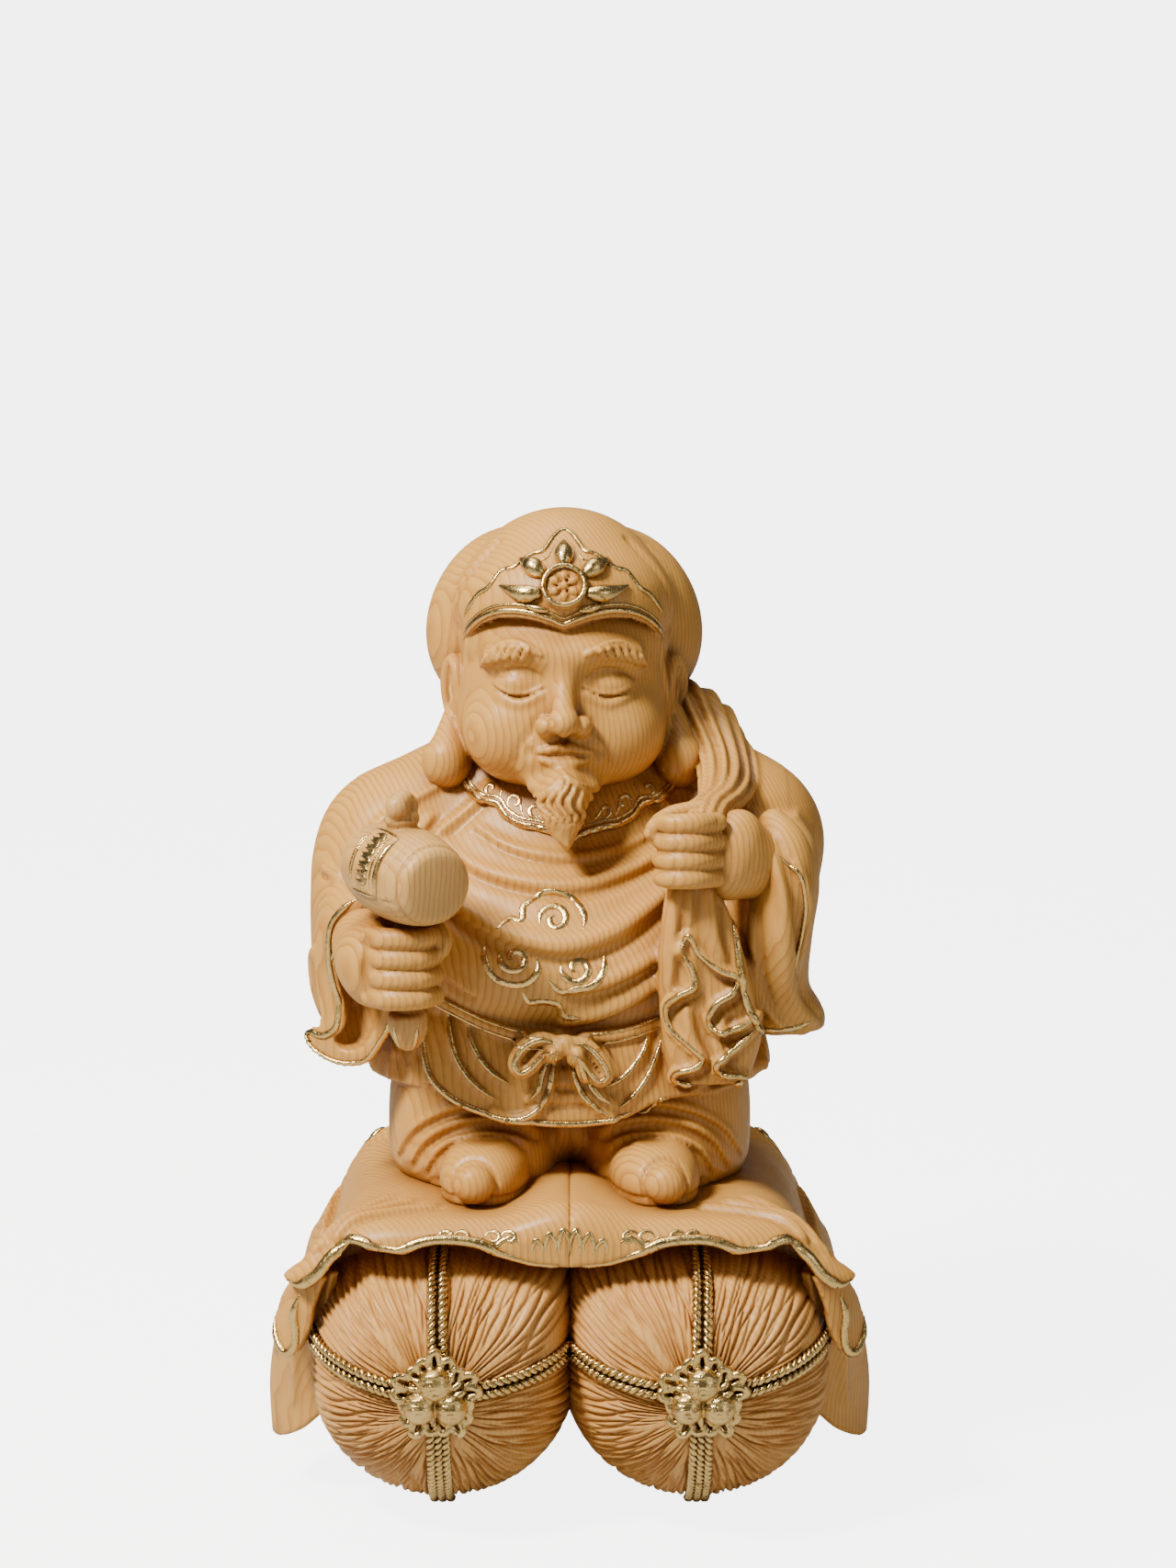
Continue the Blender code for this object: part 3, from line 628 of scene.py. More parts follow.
def bale(side):
    """One straw bale, cut flat where it meets the other one and where it stands."""
    around = np.linspace(0, 2 * math.pi, BALE_AROUND, endpoint=False)
    swing = np.r_[np.linspace(0.03, 1, FRONT_ROWS), np.ones(SIDE_ROWS), np.linspace(1, 0.03, REAR_ROWS)]
    swing *= math.pi / 2
    ends = np.r_[-np.ones(FRONT_ROWS), np.zeros(SIDE_ROWS), np.ones(REAR_ROWS)]
    middle = np.r_[np.zeros(FRONT_ROWS), np.linspace(-10, 10, SIDE_ROWS), np.zeros(REAR_ROWS)]
    a, s = np.meshgrid(around, np.sin(swing))
    bulge = BALE_STRAIGHT + BALE_DOME * dome_depth(s, dome_power(np.sin(a)))
    y = bulge * ends[:, None] + middle[:, None]
    rim = 1 / spread(side * np.cos(a), np.sin(a))
    r = rim * s
    depth = straw_depth(a, s * BALE_RADIUS)
    ny = np.cos(swing) * ends
    r_out = r - depth * np.sqrt(1 - ny ** 2)[:, None]
    points = np.stack([side * BALE_X + r_out * np.cos(a), y - depth * ny[:, None],
                       BALE_Z + r_out * np.sin(a)], axis=2)
    if side > 0:
        points[..., 0] = np.maximum(points[..., 0], SEAM)
    else:
        points[..., 0] = np.minimum(points[..., 0], -SEAM)
    points[..., 2] = np.maximum(points[..., 2], 0)
    m, n = points.shape[:2]
    index = np.arange(m * n).reshape(m, n)
    ahead = np.roll(index, -1, axis=1)
    quads = np.stack([index[:-1], ahead[:-1], ahead[1:], index[1:]], axis=2).reshape(-1, 4)
    caps = []
    for row, flipped in ((0, True), (m - 1, False)):
        for k in range(n // 2 - 1):
            cell = (row * n + k, row * n + k + 1, row * n + n - 2 - k, row * n + n - 1 - k)
            caps.append(cell[::-1] if flipped else cell)
    return mesh_object("bale", points.reshape(-1, 3), np.vstack([quads, caps]))


def rope(path, normals, strand=ROPE_STRAND, pitch=ROPE_PITCH):
    """Two strands twisted about a path laid on a surface."""
    lengths = np.r_[0, np.cumsum(np.linalg.norm(np.diff(path, axis=0), axis=1))]
    along = np.gradient(path, axis=0)
    along /= np.linalg.norm(along, axis=1, keepdims=True)
    across = np.cross(along, normals)
    across /= np.linalg.norm(across, axis=1, keepdims=True)
    up = np.cross(across, along)
    strands = []
    for start in (0, math.pi):
        turn = start + 2 * math.pi * lengths / pitch
        core = path + strand * 0.72 * (across * np.cos(turn)[:, None] + up * np.sin(turn)[:, None])
        strands.append(bead(core, up, strand, strand, sides=6, taper=False))
    return strands


def on_dome(side, end, xs, zs, lift):
    """A path over a bale's end, from offsets from its axis. End is -1 in front and +1 behind."""
    xs, zs = np.asarray(xs, float), np.asarray(zs, float)
    power = dome_power(zs / np.hypot(xs, zs))
    y = end * (BALE_STRAIGHT + BALE_DOME * dome_depth(spread(side * xs, zs), power))
    points = np.column_stack([side * BALE_X + xs, y, BALE_Z + zs])
    nudge = 0.05
    level = spread(side * xs, zs) ** power
    slope_x = (spread(side * (xs + nudge), zs) ** power - level) / nudge
    slope_z = (spread(side * xs, zs + nudge) ** power - level) / nudge
    bulge = (np.abs(y) - BALE_STRAIGHT) / BALE_DOME
    slope_y = end * power * bulge ** (power - 1) / BALE_DOME
    normals = np.column_stack([slope_x, slope_y, slope_z])
    normals /= np.linalg.norm(normals, axis=1, keepdims=True)
    return points + normals * lift, normals


def bale_ropes(side, end):
    """The gold ropes that cross on a bale's end."""
    knot = KNOT_Z - BALE_Z
    inward = -side
    paths = []
    for offset in (-1.1, 1.1):
        z = np.linspace(28.5, knot + 4, 60)
        paths.append((offset + 0.02 * (z - 8), z))
        reach = np.linspace(4, BALE_X - SEAM - 0.5, 64)
        paths.append((inward * reach, knot + offset * 0.95 + 4.8 * (reach / 26) ** 1.6))
        reach = np.linspace(4, 27.6, 64)
        paths.append((-inward * reach, knot + offset * 0.95 + 7.2 * (reach / 27) ** 1.7))
    for offset in (-1.6, 0, 1.6):
        z = np.linspace(knot - 4, -25.2, 60)
        paths.append((offset * (1 - 0.006 * (z + 20)), z))
    pieces = []
    for xs, zs in paths:
        xs = np.broadcast_to(xs, zs.shape) if np.ndim(xs) else np.full(zs.shape, xs)
        path, normals = on_dome(side, end, xs, zs, 0.35)
        fine = spline(path, 0.28)
        way = np.stack([np.interp(np.linspace(0, 1, len(fine)), np.linspace(0, 1, len(normals)),
                                  normals[:, k]) for k in range(3)], axis=1)
        pieces += rope(fine, way)
    return pieces


def knot(side, end):
    """A tasselled knot: three fat turns of rope ringed by small loops."""
    centre = np.array([side * BALE_X + side * 0.3, end * (BALE_STRAIGHT + BALE_DOME), KNOT_Z])
    clay = Clay(centre - 11, centre + 11, 0.32)
    clay.lump(centre, (6.6, 2.6, 6.4), blend=0)
    for x, z, size in ((-0.2, 2.7, 3.5), (-3.2, -2.2, 3.3), (3.1, -2.3, 3.3)):
        clay.lump(centre + (x, end * 2.0, z), (size, 3.3, size), blend=0.4)
        for k in range(4):
            tilt = k * 0.75 - 1.1
            start = centre + (x - size * 0.8, end * 3.2, z + tilt)
            middle = centre + (x, end * 5.6, z + tilt * 1.4 + 0.5)
            finish = centre + (x + size * 0.8, end * 3.2, z + tilt * 0.8)
            laid = clay.settled(spline([start, middle, finish], 0.4))
            clay.stroke(tapered(laid, 0.42), blend=0.35, cut=True)
    for k in range(KNOT_LOOPS):
        angle = 2 * math.pi * (k + 0.3) / KNOT_LOOPS
        out = np.array([math.cos(angle), 0, math.sin(angle)])
        turn = np.array([-out[2], 0, out[0]])
        tip = 8.1 + 0.9 * math.sin(5 * angle)
        curl = [centre + out * 5.0 + turn * -1.0, centre + out * tip + turn * -0.5 + (0, end * 0.4, 0),
                centre + out * (tip - 0.4) + turn * 1.0 + (0, end * 0.7, 0), centre + out * 5.2 + turn * 1.0]
        path = spline([p + (0, end * 0.9, 0) for p in curl], 0.4)
        clay.stroke(even(path, 0.78), blend=0.25)
        inner = spline([centre + out * 3.6 + (0, end * 2.6, 0),
                        centre + out * 6.0 + turn * 0.6 + (0, end * 2.1, 0)], 0.4)
        clay.stroke(tapered(inner, 0.7), blend=0.3)
    return clay.mesh("knot", BASE_ORIGIN)


HEM = [(0.1, -45.4, 56.0), (8, -46.0, 57.0), (17, -46.8, 60.0), (26, -47.2, 61.2), (34, -46.6, 59.6),
       (40, -45.6, 60.2), (45, -44.4, 60.2), (48.5, -43.5, 56.8), (51.5, -42.5, 52.6), (55, -42, 50.2),
       (58.4, -39.5, 52.2)]


def hem_height(x):
    """The front hem's height at a distance from the centre plane."""
    rows = np.array(HEM)
    return np.interp(x, rows[:, 0], rows[:, 2])


CLOTH_SIDE = [(-3, 65.5), (15, 65.5), (30, 65.4), (38, 65.0), (43.5, 63.2), (47.5, 60.0), (50.5, 55.6),
              (52.8, 50), (54.8, 44), (56.4, 38), (57, 30), (57, 22), (-3, 22)]


CLOTH_RINGS = [(-47.6, 0.88, 5.0), (-46.4, 0.96, 2.6), (-44, 1.0, 1.0), (-40, 1.01, 0.2), (-20, 1.0, 0),
               (0, 0.99, 0), (20, 1.0, 0), (40, 1.01, 0.2), (45, 1.0, 1.0), (47.6, 0.96, 2.6),
               (48.8, 0.88, 5.0)]      # (y, how wide, how far it has dropped)
CLOTH_LOW = (-3, -54, -2)
CLOTH_HIGH = (68, 54, 70)
SIDE_HEM = 44.5         # height of the hem between the tails
REAR_CORNER = 0.86      # the rear corners and tails flare less than the front ones
REAR_TAIL = 0.97
REAR_ROLL = 0.88


def cloth_clay():
    """Half of the cloth: its top rolls over at the front and falls at the side, with tails at the corners."""
    clay = Clay(CLOTH_LOW, CLOTH_HIGH, 0.62)
    side_line = np.array(CLOTH_SIDE)
    rings = [np.column_stack([side_line[:, 0] * wide, np.full(len(side_line), y), side_line[:, 1] - drop])
             for y, wide, drop in CLOTH_RINGS]
    clay.skin(loft([spline(r, 1.5, closed=True) for r in rings], 150, 4), 0)
    for end, flare in ((-1, 1.0), (1, REAR_CORNER)):
        corner = [(44, 38, 59.0, 4.6), (50, 40, 55.0, 3.8), (54, 41, 52.6, 3.0), (56.6, 40.6, 51.6, 2.2)]
        clay.stroke(spline([(x * flare, end * y, z - 20 * (1 - flare), r) for x, y, z, r in corner]), blend=5)
    clay.trim(lambda x, y, z: z - hem_height(x), (-3, -54, -2), (68, -30, 70))
    clay.trim(lambda x, y, z: z - hem_height(x), (-3, 41, -2), (68, 54, 70))
    clay.trim(lambda x, y, z: z - SIDE_HEM - 0.002 * y * y, (-3, -31, -2), (68, 41.5, 70))
    hollow = [ring((BALE_X, y, BALE_Z), (28.4, 0, 0), (0, 0, 28.6), 60, 2.5) for y in (-52, -40, 0, 40, 52)]
    clay.skin(loft(hollow, 60, 2), 0, cut=True)
    clay.lump((0, 0, 54), (9, 35, 7), blend=0)
    for end in (-1, 1):
        tails(clay, end)
        for start, finish, size in (((27, 36, 66), (47, 43.5, 60.0), 0.5),
                                    ((32, 32, 66), (50.5, 42, 56.8), 0.55),
                                    ((37, 28, 66), (53, 40.5, 54.2), 0.5)):
            a, b = np.array(start) * (1, end, 1), np.array(finish) * (1, end, 1)
            middle = (a + b) / 2 + (2.0, 0, 2.4)
            path = clay.settled(spline([a, middle, b], 1.0))
            clay.stroke(tapered(path, size), blend=2.4, cut=True)
            if end < 0:
                ridge = clay.settled(path + (1.3, end * -1.5, 0.6))
                clay.stroke(tapered(ridge, size * 0.6), blend=2.6)
    x, y, _ = middle_of("foot_peg_left")
    hole_end = CLOTH_TOP - PEG_DEPTH + PEG_HOLE
    clay.stroke([(abs(x), y, CLOTH_HIGH[2] + 10, PEG_HOLE), (abs(x), y, hole_end, PEG_HOLE)], 0, cut=True)
    clay.trim(lambda x, y, z: x - SEAM, (-3, -54, -2), (5, 54, 70))
    clay.trim(lambda x, y, z: z, (-3, -54, -2), (68, 54, 4))
    return clay


def tails(clay, end):
    """The corner's hanging layers: a long leaf beside the bale, and a short curled one in front of it."""
    inwards = 1.0 if end < 0 else REAR_TAIL
    long_tail = [[(48, 40, 53), (53, 34, 52), (55.4, 24, 50), (56, 12, 47)],
                 [(50, 37, 42), (56.6, 31, 42), (59.6, 21, 42), (58.6, 9, 40)],
                 [(51, 31, 31), (57.2, 26, 31), (62.2, 16, 31), (60.6, 6, 30)],
                 [(51, 27.5, 22), (57.4, 23, 21), (63.4, 14.5, 21), (61.8, 6, 24)],
                 [(51.6, 26.5, 19), (57.4, 22, 13), (62.9, 15, 10), (62.2, 8, 15)]]
    clay.skin(sheet(np.array(long_tail) * (inwards, end, 1), 2.4), 0.4)
    short_tail = [[(49.5, 42.5, 53), (54, 40.6, 52), (56.6, 36.5, 51.5)],
                  [(52, 41.6, 46.5), (56.2, 39.6, 45.5), (58.8, 34.8, 46)],
                  [(53, 40.8, 41.5), (57.4, 38.6, 40.5), (60.4, 33.6, 42)],
                  [(55.4, 40.2, 36.6), (58.4, 38, 35.2), (60.4, 34.6, 38)]]
    if end < 0:
        clay.skin(sheet(np.array(short_tail) * (1, end, 1), 2.0), 0.4)
    for x, y in ((57, 28), (61, 21)):
        path = spline([(x - 1, end * (y + 4), 45), (x, end * (y - 1), 32), (x + 1, end * (y - 5), 20)], 1.0)
        clay.stroke(tapered(clay.settled(path), 0.75), blend=1.8)


def cloth_gold(clay):
    """The gold hem along the front and the back, the corner curls, and the painted scroll above the hem."""
    pieces = []
    for end in (-1, 1):
        inwards = 1.0 if end < 0 else REAR_ROLL
        hem = [(x, end * abs(y), z + 0.8) for x, y, z in HEM[:8]]
        pieces.append(gold_line(clay, hem, None, 1.15, 0.9))
        roll = [(44.4, end * 60, 61.0), (48.5, end * 60, 57.8), (51.5, end * 60, 53.9), (55, end * 60, 51.6),
                (57.6, end * 60, 52.2)]
        pieces.append(gold_line(clay, np.array(roll) * (inwards, 1, 1), (0, -end, 0), 1.3, 1.0))
        if end < 0:
            curl = [(55.4, -41.2, 48.5), (56.6, -40.6, 44.4), (56.4, -40.8, 40.2), (56.8, -40.2, 37.0),
                    (58.6, -39.0, 35.6), (60.6, -36, 38.0), (61.4, -34, 42)]
            pieces.append(gold_line(clay, curl, None, 0.95, 0.85))
        for path in scroll_paths():
            raised = [(x, end * 47, z) for x, z in path]
            pieces.append(gold_line(clay, raised, (0, -end, -0.12), 0.5, 0.2, step=0.6))
    return pieces


def scroll_paths():
    """A painted border of leaves and curls, as (x, height) curves for one half."""
    paths = []
    for k, tall in ((0, 5.4), (1, 4.6), (2, 3.2)):
        x = 1.2 + 2.7 * k
        paths.append([(x - 0.9, 58.6), (x - 1.1, 58.6 + tall * 0.6), (x + 0.2, 58.6 + tall),
                      (x + 1.0, 58.4 + tall * 0.5), (x + 0.7, 58.6)])
    for start in (10.0, 19.5):
        paths.append([(start, 60.6), (start + 1.6, 62.3), (start + 3.6, 61.6), (start + 5.0, 60.6),
                      (start + 6.8, 61.4), (start + 8.4, 62.8)])
        for shift in (2.2, 5.4):
            paths.append([(start + shift + 1.9 * math.cos(a) * (1 - a / 9),
                           62.2 + 1.5 * math.sin(a) * (1 - a / 9)) for a in np.linspace(0, 6.5, 9)])
    return paths


def build_base():
    """Both halves of the base: a bale with its ropes and knots, under half of the cloth."""
    for side, label in ((1, "left"), (-1, "right")):
        node = f"base_{label}_half"
        straw = bale(side)
        straw.name = f"bale_{label}"
        dress(straw, STRAW_WOOD)
        finish_piece(straw, "base", node)
        clay = cloth_clay()
        cloth = clay.mesh(f"cloth_{label}", BASE_ORIGIN)
        gold = gathered(f"cloth_gold_{label}", cloth_gold(clay), BASE_ORIGIN)
        cords = gathered(f"bale_ropes_{label}", bale_ropes(1, -1) + bale_ropes(1, 1), BASE_ORIGIN)
        knots = [knot(side, end) for end in (-1, 1)]
        for piece in (cloth, gold, cords):
            if side < 0:
                flip(piece)
        dress(cloth, WOOD)
        dress(gold, GOLD)
        dress(cords, GOLD)
        for piece in (cloth, gold, cords):
            finish_piece(piece, "base", node)
        for piece, where in zip(knots, ("front", "rear")):
            piece.name = f"bale_knot_{label}_{where}"
            dress(piece, GOLD)
            finish_piece(piece, "base", node)


def flip(obj):
    """The mesh mirrored to the other side of the centre plane."""
    mesh = obj.data
    spots = np.empty(len(mesh.vertices) * 3, np.float32)
    mesh.vertices.foreach_get("co", spots)
    spots = spots.reshape(-1, 3)
    spots[:, 0] *= -1
    mesh.vertices.foreach_set("co", spots.ravel())
    mesh.flip_normals()
    mesh.update()


def dress(obj, look):
    """Gives an object one material."""
    obj.data.materials.clear()
    obj.data.materials.append(look)


# ---- figure: robe ------------------------------------------------------------------------------------------

FRONT = (0, 1, 0)       # the way a line is carried onto the figure's front


def upright(points, y):
    """Points (x, z) stood up at one depth."""
    return [(x, y, z) for x, z in points]


def fold(clay, points, size, groove=(0, 0, -1), towards=FRONT, deep=0.6):
    """A carved cloth fold: a ridge along a curve with a shallow cut beside it."""
    path = clay.onto(spline(points, 1.0), towards)
    clay.stroke(tapered(path, size), blend=size * 1.7)
    if deep:
        beside = clay.onto(path + np.array(groove) * size * 1.7, towards)
        clay.stroke(tapered(beside, size * deep), blend=size * 1.2, cut=True)


TRUNK_RINGS = [(0, -3, 84, 40, 31), (0, -3.5, 92, 40.5, 31), (0, -4, 100, 41, 32), (0, -5.5, 108, 42.5, 33.5),
               (0, -6, 116, 43, 33.5), (0, -4.5, 124, 42.5, 31.5), (0, -2, 132, 40, 28),
               (0, 0, 140, 35, 23.5), (0, 0, 147, 27, 19.5), (0, 0, 153, 20, 16)]


def trunk(clay):
    """The belly, the chest and the sloping shoulders."""
    clay.skin(loft(level_rings(TRUNK_RINGS, 2.25), 64, 4), 0)
    clay.lump((0, -8, 112), (34, 32.5, 21), blend=4)
    for side in (-1, 1):
        clay.lump((side * 36.5, 0, 133.2 + 1.3 * side), (19.6, 20, 20), (0, side * 8, 0), 5)
        clay.lump((side * 26, 4.5, 146.5), (17, 16, 10.5), (0, side * 30, 0), 6)
        clay.lump((side * 42.5 - 1.2 * (side + 1), -3, 122), (13.4 - 0.6 * side, 19, 18), blend=5)
    clay.lump((33.5, 3, 146), (10.5, 13, 9.5), (0, 35, 0), 5)


LEG_X = 19.9
LEG_RINGS = [(64, 17.4, 25), (66, 18.6, 26.4), (69, 19.6, 27.8), (76, 19.9, 28.4), (84, 19.4, 27.6),
             (92, 18, 25)]      # (height, half width, half depth)


def trousers(clay):
    """Two full trouser legs with folds that arch over the shoes, and the cleft between them."""
    clay.lump((0, -4, 76), (12, 24, 14), blend=0)
    for side in (-1, 1):
        rings = level_rings([(side * LEG_X, -5, z, across, deep) for z, across, deep in LEG_RINGS], 2.6)
        clay.skin(loft(rings, 64, 4), 0.9)
        clay.lump((side * 17.5, -25, 69), (14, 13, 12), blend=3)
        for reach, size in ((12.2, 1.15), (15.4, 1.2), (18.6, 1.0)):
            arc = [(side * (17.6 + reach * 1.06 * math.cos(a)), -60, 66.5 + reach * 0.92 * math.sin(a))
                   for a in np.radians((14, 40, 66, 92, 114, 132))]
            path = clay.onto(spline(arc, 1.0), FRONT)
            clay.stroke(tapered(path, size), blend=1.3)
            path = clay.onto(path + (side * 0.2, 0, -size * 1.5), FRONT)
            clay.stroke(tapered(path, 0.75), blend=1.1, cut=True)
    cleft = clay.onto(spline([(0, -60, 88), (0, -60, 78), (0, -60, 66.5)], 1.0), FRONT)
    clay.stroke(even(cleft, 0.7), blend=1.4, cut=True)


SHOE_X = 17.6
SHOE_Y = -34.0
SHOE_TOES_OUT = 0.14        # how far a shoe's line leans outwards
SHOE_LENGTH = 15.4          # from its middle to its tip
SHOE_HALF_WIDTH = 9.3
SHOE_RINGS = [(64, 8.2, 13.4), (66, 9.0, 14.8), (68.4, SHOE_HALF_WIDTH, SHOE_LENGTH), (70.8, 9.1, 15.0),
              (73.2, 8.2, 13.4), (75.2, 6.4, 10.8), (76.4, 4.4, 7.6)]
STITCHES = 44


def beside_shoe(side, across, ahead, z):
    """A point beside a shoe, from how far it lies across and ahead of the shoe's middle."""
    return np.array([side * (SHOE_X + ahead * SHOE_TOES_OUT) + across,
                     SHOE_Y - ahead + side * across * SHOE_TOES_OUT, z])


def shoes(clay):
    """Soft shoes with a knob on the toe, a cut line above the sole and a row of stitches below it."""
    for side in (-1, 1):
        lean = side * SHOE_TOES_OUT
        rings = [ring((side * SHOE_X, SHOE_Y, z), (across, across * lean, 0), (-deep * lean, deep, 0),
                      48, 2.3)
                 for z, across, deep in SHOE_RINGS]
        clay.skin(loft(rings, 56, 4), 0.4)
        toe = beside_shoe(side, 0, SHOE_LENGTH - 0.4, 70.2)
        clay.lump(toe, (4.2, 3.4, 4.1), blend=0.05)
        rim = clay.onto(ring(toe - (0, 15, 0), (4.7, 0, 0), (0, 0, 4.6), 40), FRONT)
        clay.stroke(even(rim, 0.6), blend=0.5, cut=True)
        angles = np.linspace(0, 2 * math.pi, 40, endpoint=False)
        sole = np.array([beside_shoe(side, SHOE_HALF_WIDTH * math.cos(a), SHOE_LENGTH * math.sin(a), 67.4)
                         for a in angles])
        path = clay.settled(spline(sole, 0.8, closed=True))
        clay.stroke(even(path, 0.35), blend=0.3, cut=True)
        for k in range(STITCHES):
            angle = math.pi * (k + 0.5) / STITCHES
            spot = beside_shoe(side, SHOE_HALF_WIDTH * math.cos(angle), SHOE_LENGTH * math.sin(angle), 66.6)
            tick = clay.settled(np.array([spot, spot + (0, 0, 0.7)]))
            clay.stroke(np.column_stack([tick, [0.3, 0.3]]), blend=0.2, cut=True)


SKIRT_RINGS = [(0, -3.5, 76, 46, 35), (0, -3.5, 84, 45, 34.5), (0, -3.5, 92, 43.5, 33.5),
               (0, -4, 101, 40.5, 32), (0, -4, 106, 38, 30)]
APRON_RINGS = [(0, -3.5, 76, 45.5, 36.8), (0, -3.5, 86, 44.5, 36.2), (0, -3.5, 96, 42, 34.8),
               (0, -3.5, 106, 38, 32)]


def skirt(clay):
    """The robe's flaring hem over the trousers, and the front apron laid over it."""
    under = Clay((-52, -46, 74), (52, 34, 108), clay.step)
    under.skin(loft(level_rings(SKIRT_RINGS, 2.3), 64, 4), 0)
    under.trim(lambda x, y, z: z - 84.6 - 2.2 * (x / 44) ** 2 - 0.4 * np.sin(x / 6.0),
               (-52, -46, 74), (52, 34, 108))
    for side in (-1, 1):
        for x, y, size in ((33, -31, 1.0), (39, -25, 1.1), (43, -16, 1.0)):
            path = under.settled(spline([(side * x, y, 103), (side * (x + 1.5), y, 94),
                                         (side * (x + 2.5), y, 88)], 1.0))
            under.stroke(tapered(path, size), blend=1.6)
    apron = Clay((-34, -46, 74), (34, -8, 108), clay.step)
    apron.skin(loft(level_rings(APRON_RINGS, 2.4), 64, 4), 0)
    apron.trim(apron_outline, (-34, -46, 74), (34, -8, 108))
    for layer in (under, apron):
        part, _ = clay.window(layer.low, layer.low + (np.array(layer.field.shape) - 1) * layer.step)
        size = [s.stop - s.start for s in part]
        spots = np.stack(np.meshgrid(*[clay.low[k] + clay.step * np.arange(part[k].start, part[k].stop)
                                       for k in range(3)], indexing="ij"), axis=3).reshape(-1, 3)
        clay.merge(part, layer.sample(spots).reshape(size).astype(np.float32), 0.35)


APRON_EDGE = [(-31.5, 103), (-31.2, 97), (-30.6, 92), (-28.8, 87.6), (-24.1, 83.9), (-16, 81.2), (-9, 80.2),
              (0, 79.8), (8, 80.4), (13, 82.2), (17, 84.4), (21, 85.4), (25, 85.8), (31, 87.5)]


def apron_outline(x, y, z):
    """Positive inside the apron: above its lower edge and between its sides."""
    rows = np.array(APRON_EDGE)
    low = np.interp(x, rows[3:, 0], rows[3:, 1])
    return np.minimum(z - low, 31.3 - np.abs(x))


def apron_details(clay):
    """Curved flap edges and the stepped inner panels. Returns the gold lines."""
    gold = []
    flaps = [[(-25.6, 0, 103), (-25, 0, 98), (-23.4, 0, 93.4), (-20.2, 0, 89.2), (-15.4, 0, 85.6)],
             [(-21.4, 0, 101.2), (-20.6, 0, 97.6), (-18.4, 0, 93.8), (-15.6, 0, 91), (-12.4, 0, 89)],
             [(19.2, 0, 99), (18.4, 0, 95.4), (16.4, 0, 91), (13.6, 0, 87), (10.2, 0, 84)],
             [(16.4, 0, 99.4), (15.4, 0, 96), (13.2, 0, 92.8), (10.6, 0, 90.2), (7.4, 0, 88.4)]]
    for points in flaps:
        lifted = np.array(points, float) + (0, -46, 0)
        path = clay.onto(spline(lifted, 1.0), FRONT)
        clay.stroke(tapered(path, 0.95, 0.4), blend=1.2)
        beside = clay.onto(path + (0.9 * np.sign(-path[:, 0])[:, None] * (1, 0, 0)), FRONT)
        clay.stroke(tapered(beside, 0.7), blend=0.8, cut=True)
        gold.append((lifted, 0.62, 0.42))
    for z, half in ((93.4, 3.2), (88.2, 4.0), (84.6, 5.0)):
        step = clay.onto(spline([(-half - 1, -46, z), (0, -46, z - 0.3), (half, -46, z)], 0.8), FRONT)
        clay.stroke(even(step, 0.75), blend=0.5, cut=True)
    return gold


BELLY_FOLDS = [([(-20, 141), (-12, 137), (0, 135.2), (11, 137), (20, 141)], 0.9, 0.4),
               ([(-27, 137.5), (-20, 133.2), (-10, 130.6), (1, 129.9), (10, 131.8), (20, 136),
                 (27, 141)], 1.25, 0.6),
               ([(-34, 132.5), (-26, 126.8), (-17, 122), (-8, 119.3), (0, 118.6), (8, 120.6), (16, 124.8),
                 (25, 131.5)], 1.9, 0.6),
               ([(0, 109.6), (7, 110.8), (13, 113.2), (20, 117), (26, 121.5)], 1.4, 0.6),
               ([(-1, 101.8), (6, 104), (13.5, 107.4), (20, 111.4), (26, 115)], 1.6, 0.6),
               ([(-36, 124), (-31, 117.5), (-26, 112), (-20, 108)], 1.2, 0.6)]


def belly_folds(clay):
    """Folds that sag across the belly: (x, z) points, a size, and how deep the cut beside the fold is."""
    for points, size, deep in BELLY_FOLDS:
        fold(clay, upright(points, -40), size, deep=deep)


def sash(clay):
    """The sash under the belly. Returns its gold lines."""
    gold = []
    for side in (-1, 1):
        path = [(side * 36, -50, 109.5), (side * 27, -50, 105.2), (side * 19, -50, 101.6),
                (side * 11, -50, 99.3), (side * 3, -50, 98.4)]
        laid = clay.onto(spline(path, 1.0), FRONT)
        clay.stroke(even(laid, 1.5), blend=0.8)
        seen = np.array(path if side < 0 else path[2:], float)
        gold += [(seen + (0, 0, 1.0), 0.42, 0.3), (seen - (0, 0, 1.2), 0.36, 0.28)]
    return gold


def shoulder_folds(clay):
    """Folds that fall from the shoulders over the upper arms."""
    for side in (-1, 1):
        out = (side * -0.75, 0.66, 0)
        fold(clay, [(side * 33, -30, 148), (side * 40, -30, 139), (side * 45, -30, 130),
                    (side * 46, -30, 122)], 1.5, (-side, 0, 0), out)
        fold(clay, [(side * 42, -26, 150), (side * 50, -26, 140), (side * 54, -24, 130),
                    (side * 53, -22, 121)], 1.3, (-side, 0, 0), out)
        fold(clay, [(side * 30, -30, 142), (side * 36, -30, 134), (side * 40, -30, 127)], 1.2, (-side, 0, 0),
             FRONT)
        fold(clay, [(side * 56, -16, 131), (side * 49, -28, 128.5), (side * 42, -34, 128)], 1.1, (0, 0, -1),
             out)
        for k, y in enumerate((8, 16, 22)):
            fold(clay, [(side * 60, y, 144 - 3 * k), (side * 60, y + 2, 130), (side * 60, y + 1, 116)], 1.4,
                 (0, 1, 0), (-side, 0, 0))


